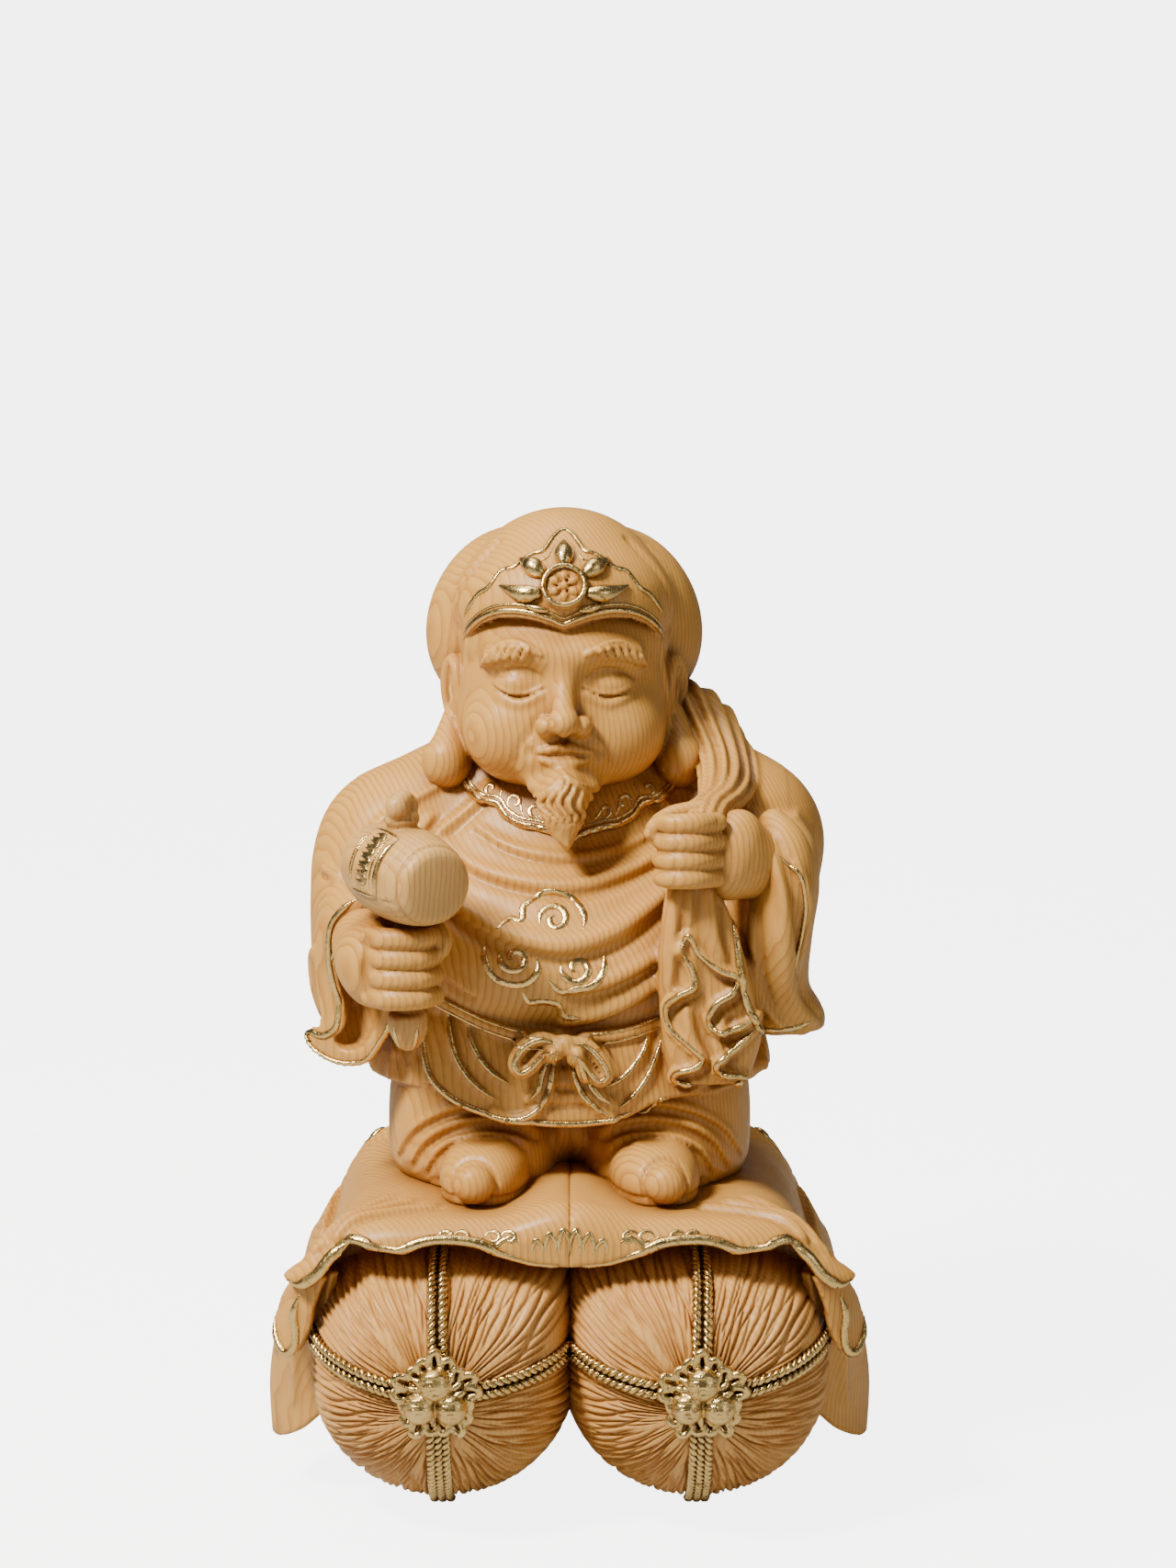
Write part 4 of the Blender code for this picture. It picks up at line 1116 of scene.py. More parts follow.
RIGHT_RIM = [(-44.6, -32, 127), (-48.2, -31, 124.4), (-50.6, -30, 120.5), (-51, -29, 113.5),
             (-50.2, -28.5, 108.5), (-49, -28, 104), (-49.6, -27.5, 99), (-52.6, -25.5, 96.6),
             (-56.7, -22, 97), (-55.6, -24, 93.4), (-49.6, -27, 90.8), (-43.4, -29.5, 91.6),
             (-39.6, -32.5, 96.6), (-37.4, -34.5, 101), (-36, -35.5, 108), (-35.8, -36, 115),
             (-37.4, -35.2, 121.5), (-41, -33.5, 126)]


RIGHT_MOUTH = [(-43.4, 124), (-47, 121.6), (-48.9, 117), (-49.1, 111), (-48, 105), (-47.4, 100.6),
               (-48.4, 97.4), (-50.4, 95.4), (-48.8, 93.2), (-44.8, 93.8), (-41.8, 97.6), (-39.8, 103),
               (-38.6, 110), (-38.6, 117), (-40.4, 122.4)]


def hanging_ring(x, y, z, half_width, half_height):
    """An upright oval facing forward, that starts at its top and runs outwards down the right side."""
    return ring((x, y, z), (0, 0, half_height), (-half_width, 0, 0), 48, 2.3)


def right_sleeve(clay):
    """The wide sleeve behind the mallet hand, open towards the front. Returns its gold lines."""
    rim = spline(RIGHT_RIM, 1.2, closed=True)
    body = [hanging_ring(-43, 8, 122, 9, 13), hanging_ring(-45.5, -2, 118, 11.2, 18),
            hanging_ring(-45.5, -14, 113.5, 10.2, 19), hanging_ring(-45, -24, 110.5, 9, 18.4), rim]
    clay.skin(loft(body, 96, 6), 1.2)
    opening = spline([(x, 0, z) for x, z in RIGHT_MOUTH], 1.2, closed=True)
    heart = np.array([-44.2, 0, 109])
    mouth = [heart + (opening - heart) * (grow, 1, grow) + (0, y, 0)
             for grow, y in ((1.05, -41), (1.0, -32), (0.96, -28), (0.84, -25), (0.45, -22.5))]
    clay.skin(loft(mouth, 96, 6), 0.5, cut=True)
    path = clay.settled(spline([(-47, -20, 121), (-51.5, -18, 112), (-51, -19, 103), (-53.5, -19, 98)], 1.0))
    clay.stroke(tapered(path, 1.1), blend=1.8)
    path = clay.settled(spline([(-53, -13, 116), (-52.6, -13, 107), (-52.4, -15, 99)], 1.0))
    clay.stroke(tapered(path, 1.2), blend=2.0, cut=True)
    return [(rim + (0, -0.25, 0), 0.75, 0.5)]


LEFT_SLEEVE_RINGS = [(43, -14, 143, 6, 9), (43, -19, 137, 9.5, 13), (43.2, -19.5, 128, 10, 15.6),
                     (42.4, -19.5, 118, 9.4, 16.2), (42.2, -19.5, 108, 9, 16.4),
                     (44.4, -19.5, 102, 9.8, 15.6), (46, -19.5, 98.4, 8.6, 13)]


def left_sleeve(clay):
    """The sleeve that hangs from the raised left wrist, with its cuff drawn over the forearm."""
    clay.skin(loft(level_rings(LEFT_SLEEVE_RINGS, 2.6), 72, 6), 1.6)
    cuff = spline([(42.5, -33, 143, 3.2), (44.6, -36.6, 138, 5.2), (45, -37, 131, 6.2), (43, -36, 122, 6.4),
                   (42, -33.5, 112, 6.0), (43, -31, 104, 5.0)], 1.0)
    clay.stroke(cuff, blend=2.4)
    tip = spline([(43, -30, 99.5, 1.6), (48, -28, 98.4, 1.8), (52.2, -24, 100.4, 1.3)], 0.8)
    clay.stroke(tip, blend=2.2)
    clay.lump((43.6, -21, 94.5), (8.5, 12, 6.0), blend=0.8, cut=True)
    fold(clay, [(40.6, -46, 140), (43.6, -46, 130), (45, -46, 118), (46, -46, 108), (51, -44, 101)], 1.5,
         (1, 0, 0))
    fold(clay, [(37.4, -46, 126), (38, -46, 116), (40, -46, 107), (44, -46, 101)], 1.0, (1, 0, 0))
    fold(clay, [(48, -46, 136), (51.5, -46, 128), (52, -46, 118), (51.6, -46, 110)], 1.0, (-1, 0, 0),
         (-0.4, 0.9, 0))


LEFT_EDGE = [(34.6, -46, 125.5), (35.2, -46, 118.4), (36.0, -46, 111.5), (38.0, -46, 105.4),
             (40.6, -46, 101.6), (44.6, -44, 99.6), (49.0, -40, 99.8), (51.4, -36, 101.4)]


SACK_NECK = [((22, 26, 150), (12.5, 0, 0), (0, 6, 6)), ((25, 17, 159), (12, 0, -3), (0, 3.5, 8)),
             ((28, 7, 161.5), (9.8, 0, -3.8), (0, -0.5, 7.5)), ((31, -3, 156.5), (8, 0, -3.6), (0, -3.6, 6)),
             ((33.2, -14, 150.6), (6, 0, -2.6), (0, -2.8, 4.6)),
             ((31.8, -28, 147.0), (4.9, 0, 0), (0, -1.6, 4.0)),
             ((28.4, -38, 146.0), (4.6, 0, 0), (0, -1.6, 3.4)),
             ((26.8, -44, 144.5), (4.4, 0, 0), (0, -2.4, 2.6))]


def neck_line(clay, degrees):
    """A line along the sack's neck, at an angle round it."""
    angle = math.radians(degrees)
    line = [np.array(centre) + math.cos(angle) * np.array(across) + math.sin(angle) * np.array(up)
            for centre, across, up in SACK_NECK[1:]]
    return clay.settled(spline(line, 1.0))


def sack_neck(clay):
    """The sack's neck: a band of cloth over the left shoulder, gathered into folds towards the fist."""
    rings = [ring(centre, across, up, 40) for centre, across, up in SACK_NECK]
    clay.skin(loft(rings, 48, 5), 1.2)
    for degrees in (8, 38, 66, 94, 122, 150, 176):
        clay.stroke(tapered(neck_line(clay, degrees), 0.5 + 0.2 * math.sin(degrees), 0.4), blend=1.8)
        groove = neck_line(clay, degrees + 14)
        clay.stroke(tapered(groove, 0.7 + 0.2 * math.cos(degrees), 0.3), blend=1.2, cut=True)


RUFFLE_UPPER = [(22.6, 118.4), (24.2, 121.6), (26.6, 117.6), (30.6, 114.4), (34.4, 112.8), (33.6, 109.6),
                (30.2, 107.4), (28.6, 104), (30.4, 101.4), (34.6, 102.2), (38.8, 104.4)]
RUFFLE_LOWER = [(22.6, 118.4), (25, 114.8), (25.6, 111), (22.2, 108.8), (19.9, 106.2), (20.9, 101.6),
                (24.4, 98.4), (27.4, 95.4), (25.6, 93.4), (22.2, 92.2), (22, 90), (28.4, 89), (34, 89),
                (36.2, 91.2), (31.4, 92.2), (30.4, 94.4), (34.4, 98), (38.2, 101.6)]


SACK_TAIL_RINGS = [(25.5, -41, 133, 5, 4.4), (25.8, -40.5, 126, 6.6, 5), (27.2, -39.5, 118, 8.6, 5.6),
                   (28.6, -38.5, 110, 10.2, 6.2), (29.6, -37.5, 101, 10.6, 6.6), (29.4, -37, 94, 9.4, 6.2),
                   (29, -36.8, 89.6, 8, 5.2)]


def sack_tail(clay):
    """The cloth end hanging under the left fist. Returns its gold edges."""
    clay.skin(loft(level_rings(SACK_TAIL_RINGS, 2.6), 64, 5), 0.8)
    for points, size in (([(21.6, -50, 130), (21.2, -50, 120), (20.4, -50, 110)], 1.1),
                         ([(24.4, -50, 131), (24.6, -50, 124)], 0.9),
                         ([(28.2, -50, 131), (29.6, -50, 122), (31.4, -50, 116)], 1.2),
                         ([(31.6, -50, 127), (34, -50, 119), (36.4, -50, 110), (37.8, -50, 104)], 1.1),
                         ([(24, -50, 106), (25.6, -50, 100), (28, -50, 96)], 1.1),
                         ([(31.6, -50, 105), (30.8, -50, 98), (32.4, -50, 92)], 1.0)):
        fold(clay, points, size, (1, 0, 0))
    edges = []
    for outline, groove in ((RUFFLE_LOWER, (0.6, 0, -1.1)), (RUFFLE_UPPER, (0.4, 0, -1.2))):
        lifted = [(x, -52, z) for x, z in outline]
        path = clay.onto(spline(lifted, 0.7), FRONT)
        clay.stroke(even(path, 1.35), blend=0.7)
        beside = clay.onto(path + np.array(groove) * 1.5, FRONT)
        clay.stroke(tapered(beside, 1.15), blend=0.5, cut=True)
        edges.append((lifted, 0.7, 0.5))
    return edges


def bow(clay):
    """The sash's bow: a ball knot, two loops and two curling ends. Returns its gold edges."""
    loops = [[(-2.5, 98.6), (-6, 99.6), (-9.6, 97.8), (-11.4, 94.6), (-10.2, 92.6), (-8, 93.6), (-5, 96.8),
              (-2.6, 97.6)],
             [(0.4, 98.6), (3.2, 98.4), (6.2, 95.6), (7.8, 92.4), (6.4, 90.8), (4.4, 92.4), (2.4, 95.4),
              (0.4, 97.2)]]
    ends = [[(-2.4, 97.4), (-3.4, 93), (-4.2, 88.6), (-6, 84.6), (-9.4, 82.2), (-13, 81.8), (-15.6, 83)],
            [(-3.4, 97), (-5.6, 92), (-6.6, 88), (-8.6, 86)],
            [(0.6, 97), (1.0, 92), (2.2, 88), (5, 84.8), (8.6, 82.4)],
            [(1.6, 97), (3.4, 91), (6, 87), (9, 85)]]
    gold = []
    for loop in loops:
        path = spline([(x, -43.2, z) for x, z in loop], 0.6)
        clay.stroke(even(path, 1.5), blend=0.5)
        gold.append(path)
    for end in ends:
        lifted = spline([(x, -52, z) for x, z in end], 0.7)
        path = clay.onto(lifted, FRONT)
        clay.stroke(even(path, 1.35), blend=0.5)
        gold.append(path)
    clay.lump((-1.1, -43.6, 98.4), (2.5, 2.4, 2.2), blend=0.3)
    return gold


COLLAR_EDGE = [(0, 137.6), (3, 139.6), (7.4, 140.8), (10.4, 141.2), (13.6, 142.8), (15.6, 145.2),
               (18.6, 145.6), (21.4, 147.2), (23.4, 150), (26, 152.6)]


def collar(clay):
    """A cloud-edged collar, a thin layer above the robe. Returns its gold lines."""
    rows = np.array(COLLAR_EDGE)

    def layer(x, y, z):
        low = np.interp(np.abs(x), rows[:, 0], rows[:, 1])
        inside = np.clip((z - low) / 0.5 + 0.5, 0, 1) * np.clip((26 - np.abs(x)) / 1.5, 0, 1)
        return 0.8 * inside * (y < -4)

    clay.push(layer, (-28, -44, 134), (28, -4, 156))
    gold = []
    for side in (-1, 1):
        edge = [(side * x, -46, z + 0.25) for x, z in COLLAR_EDGE]
        gold.append((edge, 0.8, 0.4))
        inner = [(side * (x - 0.5), -46, z + 1.6) for x, z in COLLAR_EDGE[1:]]
        gold.append((inner, 0.42, 0.14))
        for x, z, size, start in ((7.4, 144.4, 1.7, 3.6), (11.6, 146, 1.9, 5.4), (16.8, 148.6, 1.6, 4.0)):
            curl = [(side * (x + size * (1 - a / 8) * math.cos(a + start)), -46,
                     z + size * (1 - a / 8) * math.sin(a + start)) for a in np.linspace(0, 6.4, 10)]
            gold.append((curl, 0.56, 0.16))
        for x0, z0, x1, z1 in ((4.2, 141.6, 7.2, 146.4), (9.6, 142.8, 10, 148.2), (14.6, 145.6, 13.6, 149.6)):
            gold.append(([(side * x0, -46, z0), (side * (x0 + x1) / 2 + side * 0.7, -46, (z0 + z1) / 2),
                          (side * x1, -46, z1)], 0.40, 0.14))
    return gold


def spiral(x, z, size, start, turns, way=1, squeeze=0.9):
    """A curl that winds inwards from its rim, on the figure's front."""
    angles = np.linspace(0, 2 * math.pi * turns, max(int(12 * turns), 6))
    fade = 1 - 0.82 * angles / angles[-1]
    return [(x + size * f * math.cos(start + way * a), z + size * squeeze * f * math.sin(start + way * a))
            for a, f in zip(angles, fade)]


def cloud_motif():
    """A painted cloud of three curls with a trailing wisp."""
    lines = [spiral(-3.0, 123.6, 3.4, 3.5, 1.3, -1), spiral(-11.4, 115.6, 3.4, 2.6, 1.25),
             spiral(1.6, 113.8, 3.5, 2.9, 1.25)]
    lines.append([(-15.4, 121.6), (-12.6, 123.6), (-10, 123.4), (-9.6, 126), (-7.2, 127.4), (-4.6, 128.6),
                  (-1.2, 128.2), (1.6, 126.6), (3.2, 124), (2.8, 121.8)])
    lines.append([(-17.4, 118.4), (-17.8, 115.4), (-16, 111.8), (-12.6, 110.2), (-9, 110.6), (-6.6, 113.2),
                  (-6.8, 116)])
    lines.append([(-4.4, 111.6), (-1.8, 108.9), (1.4, 109.6), (4.6, 110.4), (7, 113.2), (7.2, 117)])
    lines.append([(-9.8, 108.8), (-8.4, 106.4), (-5.6, 106.6), (-2.6, 106), (-1.2, 103.4), (2.6, 103.2)])
    return [upright(line, -52) for line in lines]


def build_robe():
    """Robe, trousers, shoes, sleeves, sash, bow and sack neck, carved from one block, and their gold."""
    clay = Clay((-64, -60, 65.6), (64, 30, 176), 0.6)
    trousers(clay)
    shoes(clay)
    trunk(clay)
    skirt(clay)
    flap_lines = apron_details(clay)
    shoulder_folds(clay)
    belly_folds(clay)
    left_sleeve(clay)
    rim_lines = right_sleeve(clay)
    sash_lines = sash(clay)
    collar_lines = collar(clay)
    sack_neck(clay)
    tail_lines = sack_tail(clay)
    bow_paths = bow(clay)
    clay.lump((0, 0, 152), (15, 15, 9), blend=0, cut=True)
    gold = []
    for points, width, height in flap_lines + sash_lines + collar_lines + tail_lines:
        gold.append(gold_line(clay, points, FRONT, width, height))
    for points, width, height in rim_lines:
        gold.append(gold_line(clay, points, None, width, height, step=1.2))
    gold.append(gold_line(clay, [(x, -52, z + 1.0) for x, z in APRON_EDGE[:10]], FRONT, 0.75, 0.6))
    gold.append(gold_line(clay, [(13, -52, 82.4), (15.4, -52, 81.4), (17.6, -52, 83), (19.4, -52, 85.6),
                                 (21.4, -52, 84.6)], FRONT, 0.6, 0.5))
    gold.append(gold_line(clay, LEFT_EDGE, (-0.35, 0.94, 0), 0.85, 0.6))
    gold.append(gold_line(clay, [(44.5, -46, 138), (48.4, -46, 134), (50.8, -46, 127.6), (51.4, -46, 121),
                                 (51.6, -46, 112)], (-0.45, 0.9, 0), 0.5, 0.35))
    gold.append(gold_line(clay, [(-46.6, -46, 128), (-51.2, -46, 124), (-55.4, -44, 117.6),
                                 (-56.4, -40, 112)], (0.45, 0.9, 0), 0.5, 0.35))
    for path in bow_paths:
        spots = clay.onto(path + (0, -6, 0), FRONT)
        gold.append(bead(spots, clay.normals(spots), 0.62, 0.4))
    for line in cloud_motif():
        gold.append(gold_line(clay, line, FRONT, 0.78, 0.24, step=0.5))
    robe = clay.mesh("robe", FIGURE_ORIGIN)
    dress(robe, WOOD)
    finish_piece(robe, "figure", "robe_core", "robe_left_side", "robe_right_side")
    lines = gathered("robe_gold", gold, FIGURE_ORIGIN)
    dress(lines, GOLD)
    finish_piece(lines, "figure", "robe_core")
    return clay


# ---- figure: head ------------------------------------------------------------------------------------------

HEAD_ORIGIN = (-1.2, FIGURE_ORIGIN[1], 0.0)     # the head is described about its own centre plane
RIM = [(0, 183.7), (2.5, 184.7), (6, 185.8), (10, 186.4), (14, 186.1), (17.3, 184.7), (20.0, 182.2),
       (21.6, 179.4)]
DIADEM = [(0, 204.0), (2.1, 202.7), (4.3, 199.8), (6.2, 199.2), (8.7, 197.8), (10.7, 196.3), (13.3, 195.4),
          (15.8, 192.2), (18.0, 190.7), (20.2, 187.7), (21.4, 185.5)]


def from_front(clay, points, step=0.5):
    """Points (x, z) carried straight back onto the clay."""
    return clay.onto(spline(upright(points, -60), step), FRONT)


def both(clay, centre, radii, blend, cut=False, turn=0.0):
    """The same ellipsoid on both sides of the face, leaning about Y by opposite angles."""
    x, y, z = centre
    for side in (-1, 1):
        clay.lump((side * x, y, z), radii, (0, side * turn, 0), blend, cut)


def line_on_face(clay, points, size, blend, cut=False, ends=0.3):
    """The same stroke laid on both sides of the face from in front."""
    for side in (-1, 1):
        path = from_front(clay, [(side * x, z) for x, z in points])
        clay.stroke(tapered(path, size, ends), blend, cut)


def skull(clay):
    """Neck, head, full cheeks, chin and brow."""
    clay.stroke([(0, 3, 139, 14), (0, 1, 158, 15)], blend=0)
    clay.lump((0, -3.5, 171), (22.4, 25, 24), blend=3)
    clay.lump((0, -3.4, 180.5), (23.0, 23.2, 12.5), blend=2)
    clay.lump((0, -7.5, 160.3), (21.9, 20.6, 13.2), blend=6)
    both(clay, (11, -18.8, 160.4), (9.4, 8.6, 8.8), 5)
    clay.lump((0, -24.6, 151.6), (7.4, 5.6, 4.6), blend=5)
    brow = [(-15, -22.5, 177.2, 1.8), (-7, -26.2, 178.4, 2.4), (0, -27, 177.2, 2.2), (7, -26.2, 178.4, 2.4),
            (15, -22.5, 177.2, 1.8)]
    clay.stroke(spline(brow, 1.0), blend=4)


def eyes(clay):
    """Calm, lowered lids, one eye's width apart."""
    both(clay, (9.2, -33.0, 171.8), (6.3, 6.2, 3.9), 3, cut=True)
    both(clay, (9.2, -22.2, 171.4), (5.7, 4.9, 3.6), 0.8)
    line_on_face(clay, [(4.2, 173.0), (6.6, 174.5), (9.4, 175.0), (12.4, 174.2), (15, 172.6)], 0.4, 0.5,
                 cut=True)
    line_on_face(clay, [(3.9, 171.6), (6.2, 170.4), (9.2, 169.7), (12.2, 170.3), (15, 171.7)], 0.5, 0.4)
    line_on_face(clay, [(3.7, 171.2), (6.1, 169.7), (9.2, 168.9), (12.4, 169.6), (15.3, 171.3)], 0.42, 0.3,
                 cut=True)
    line_on_face(clay, [(4.6, 169.6), (9.2, 167.6), (14, 169.2)], 0.6, 1.4)


def nose(clay):
    """The nose, and the soft folds that run down beside it."""
    clay.stroke(spline([(0, -26.4, 177, 1.9), (0, -28.6, 171.5, 1.9), (0, -31.4, 166.8, 2.4),
                        (0, -32.8, 164.6, 2.8)], 0.8), blend=2.6)
    clay.lump((0, -33.2, 164.0), (3.2, 3.2, 2.8), blend=1.0)
    both(clay, (3.7, -30.6, 163.3), (2.3, 3.0, 2.2), 0.7)
    both(clay, (1.8, -33.6, 161.5), (0.95, 1.4, 0.75), 0.4, cut=True)
    line_on_face(clay, [(6.0, 164.6), (6.3, 162.8), (5.2, 161.4)], 0.35, 0.8, cut=True)
    line_on_face(clay, [(6.8, 161.4), (8.9, 158.6), (9.6, 155.6)], 0.55, 2.2, cut=True)


def mouth(clay):
    """Closed lips with the corners slightly raised."""
    clay.lump((0, -25.6, 157.4), (8.6, 4.6, 4.8), blend=4)
    line_on_face(clay, [(0, 160.6), (0.1, 159.6), (0, 158.9)], 0.6, 1.2, cut=True)
    upper = [(-6.6, 157.5), (-3.4, 158.1), (-1.3, 158.7), (0, 158.4), (1.3, 158.7), (3.4, 158.1),
             (6.6, 157.5)]
    lower = [(-5.2, 156.3), (-2.6, 155.6), (0, 155.3), (2.6, 155.6), (5.2, 156.3)]
    parting = [(-7.4, 157.6), (-4, 157.0), (-1.4, 157.3), (0, 157.0), (1.4, 157.3), (4, 157.0), (7.4, 157.6)]
    clay.stroke(tapered(from_front(clay, upper), 1.0), 0.7)
    clay.stroke(tapered(from_front(clay, lower), 1.15), 0.7)
    clay.stroke(tapered(from_front(clay, parting), 0.42), 0.3, cut=True)
    line_on_face(clay, [(6.9, 158.2), (7.5, 157.7), (7.7, 156.9)], 0.4, 1.6, cut=True)


def eyebrows(clay):
    """Cloud-edged brows, each with a row of carved tufts."""
    line_on_face(clay, [(4.4, 177.9), (7, 179.2), (10.4, 180.1), (13.6, 179.4), (16.4, 177.4)], 1.15, 0.4)
    for k in range(6):
        x = 7.6 + 1.75 * k
        z = 178.6 - 0.13 * max(k - 1, 0) ** 2
        line_on_face(clay, [(x - 0.2, z + 1.0), (x + 0.4, z - 0.5), (x + 1.2, z - 1.5)], 0.85, 0.15, ends=0.6)
        line_on_face(clay, [(x + 0.9, z + 0.8), (x + 1.4, z - 0.4), (x + 1.9, z - 1.5)], 0.32, 0.15, cut=True)
    line_on_face(clay, [(5.2, 178.4), (8, 179.7), (11.4, 180.4), (14.4, 179.5)], 0.3, 0.2, cut=True)


def ears(clay):
    """Long ears with heavy lobes, and the soft edge of the cheek in front of them."""
    for side in (-1, 1):
        clay.lump((side * 22.8, -2.5, 167.5), (2.8, 5, 8.2), blend=2)
        helix = [(23.8, -2.6, 161.5, 1.7), (25.2, -0.8, 167, 1.7), (25.3, -0.6, 171.8, 1.8),
                 (24.2, -2.8, 175, 1.6), (23.3, -6.0, 173.8, 1.4), (22.9, -7.4, 169.6, 1.2),
                 (23.0, -7.4, 164.5, 1.0)]
        clay.stroke(spline([(side * x, y, z, r) for x, y, z, r in helix], 0.7), blend=0.7)
        clay.lump((side * 25.2, -4.4, 168.2), (2.0, 2.3, 4.6), (0, 0, 0), 0.8, cut=True)
        clay.stroke(spline([(side * 23.9, -5.2, 166, 0.8), (side * 24.4, -3.6, 169, 0.8),
                            (side * 24, -2.8, 171.6, 0.7)], 0.7), blend=0.5)
        drop = [(24.0, -5.0, 163.5, 2.2), (24.8, -8.0, 160.0, 2.8), (25.0, -10.0, 157.0, 3.8)]
        clay.stroke(spline([(side * x, y, z, r) for x, y, z, r in drop], 0.8), blend=1.4)
        clay.lump((side * 25.2, -11.2, 153.8), (5.5, 5.6, 5.9), blend=0.8)
        edge = [(22.4, -13.6, 179.5), (22.3, -11.5, 173), (22.9, -9.6, 166.5), (22.6, -10, 161)]
        path = clay.settled(spline([(side * x, y, z) for x, y, z in edge], 0.8))
        clay.stroke(tapered(path, 0.8), blend=0.9)


def beard(clay):
    """A small pointed beard of waved strands, parted by S-shaped cuts."""
    core = [(0, -28.8, 153.8, 1.4), (0, -30.2, 151.4, 3.8), (0, -31.4, 148.2, 5.2), (-0.1, -32.8, 144.8, 4.3),
            (0.2, -34.0, 141.8, 2.7), (0.6, -34.8, 138.8, 1.0)]
    clay.stroke(spline(core, 0.8), blend=1.2)
    clay.lump((0, -28, 150.2), (7.6, 4.2, 2.8), blend=2)
    for k in range(-3, 4):
        u = k / 3
        strand = [(u * 0.9, 154.4 - 1.6 * abs(u)), (u * 4.4 + 1.0, 151.2 - 1.4 * abs(u)),
                  (u * 6.2 - 1.0, 148.0 - abs(u)), (u * 4.4 + 1.1, 144.6), (u * 2.4 - 0.5, 141.8),
                  (u * 0.4 + 0.7, 138.8)]
        for shift, size, cut in ((0.0, 0.78, False), (0.9, 0.46, True)):
            moved = [(x + shift * (0.4 + 0.6 * math.sin(math.pi * i / 5)), z)
                     for i, (x, z) in enumerate(strand)]
            path = from_front(clay, moved, 0.6)
            fade = np.interp(np.linspace(0, 1, len(path)), [0, 0.2, 0.7, 1], [0.4, 1.0, 0.9, 0.3])
            clay.stroke(np.column_stack([path, size * fade]), 0.3, cut)


def cap(head):
    """The soft cap: a tall crown, a raised front panel, and a full bag behind with a lobe over each ear."""
    rim, crown = np.array(RIM), np.array(DIADEM)
    cap_clay = head.blank()
    cap_clay.lump((0, 1.5, 187), (22.4, 23.5, 21.2), blend=0)
    cap_clay.lump((0, -3.0, 187.0), (23.9, 24.4, 17), blend=1.5)
    cap_clay.lump((0, 16, 184), (23, 17, 20), blend=3)
    for side in (-1, 1):
        for start, finish in (((20, 3, 201.5), (29.5, 4, 186)), ((14.5, 16, 202.5), (27, 22, 186))):
            middle = (np.array(start) + np.array(finish)) / 2 + (2.5, 0, 2)
            path = cap_clay.settled(spline([np.array(p, float) * (side, 1, 1)
                                            for p in (start, middle, finish)], 0.8))
            cap_clay.stroke(tapered(path, 0.9), 3.0, cut=True)

    def lower_edge(x, y, z):
        return z - np.interp(np.abs(x), rim[:, 0], rim[:, 1]) + 0.36 * np.clip(y + 13, 0, 32)

    def panel(x, y, z):
        top = np.interp(np.abs(x), crown[:, 0], crown[:, 1])
        return 0.75 * np.clip((top - z) / 0.5 + 0.5, 0, 1) * np.clip((22 - np.abs(x)) / 1.0, 0, 1) * (y < -7)

    high = cap_clay.low + (np.array(cap_clay.field.shape) - 1) * cap_clay.step
    cap_clay.trim(lower_edge, cap_clay.low, high)
    both(cap_clay, (13.6, 11.5, 183.8), (16.4, 16, 20.8), 2.5, turn=-24)
    for side in (-1, 1):
        crease = spline([(side * 15.4, -9, 204), (side * 18.6, -10, 198), (side * 21.4, -9, 190),
                         (side * 22.8, -6, 182.5)], 0.8)
        cap_clay.stroke(tapered(cap_clay.settled(crease), 1.5), 1.6, cut=True)
    cap_clay.push(panel, (-24, -40, 178), (24, -6, 207))
    part = tuple(slice(0, n) for n in head.field.shape)
    head.merge(part, cap_clay.field, 0.15)


def cap_gold(clay):
    """Gold lines along the cap's rim and along the raised panel's top."""
    pieces = []
    whole_rim = [(-x, z) for x, z in RIM[:0:-1]] + RIM
    whole_crown = [(-x, z) for x, z in DIADEM[:0:-1]] + DIADEM
    lines = [(whole_rim, 0.65, 0.62, 0.55), (whole_rim, 1.95, 0.30, 0.30), (whole_crown, -0.35, 0.60, 0.5)]
    for points, lift, width, height in lines:
        path = from_front(clay, [(x, z + lift) for x, z in points])
        pieces.append(bead(path, clay.normals(path), width, height))
    for side in (-1, 1):
        path = from_front(clay, [(side * x * 0.86, z - 1.9) for x, z in DIADEM[1:6]])
        pieces.append(bead(path, clay.normals(path), 0.26, 0.2))
    return pieces


def medallion(clay):
    """A round boss with a six-petalled rosette, and its gold ring."""
    centre = clay.onto([(0, -60, 192)], FRONT)[0]
    out = clay.normals([centre])[0]
    out[0] = 0
    out /= np.linalg.norm(out)
    up = np.cross((1, 0, 0), out)
    up *= np.sign(up[2])
    lean = math.degrees(math.atan2(out[2], -out[1]))
    clay.lump(centre - out * 0.2, (4.9, 1.5, 4.9), (-lean, 0, 0), 0.6)
    dish = centre + out * 2.0
    clay.lump(dish, (4.1, 1.7, 4.1), (-lean, 0, 0), 0.2, cut=True)
    for k in range(6):
        angle = math.radians(60 * k + 30)
        way = math.cos(angle) * np.array([1.0, 0, 0]) + math.sin(angle) * up
        inner, outer = centre + out * 0.5 + way * 1.3, centre + out * 0.8 + way * 3.2
        clay.stroke([(*inner, 0.45), (*((inner + outer) / 2 + out * 0.1), 0.98), (*outer, 0.5)], 0.1)
    clay.lump(centre + out * 0.9, (1.0, 1.0, 1.0), blend=0.05)
    angles = np.linspace(0, 2 * math.pi, 60, endpoint=False)
    loop = centre + out * 1.35 + 4.35 * (np.outer(np.cos(angles), (1, 0, 0)) + np.outer(np.sin(angles), up))
    return bead(loop, np.tile(out, (60, 1)), 0.55, 0.55, closed=True)


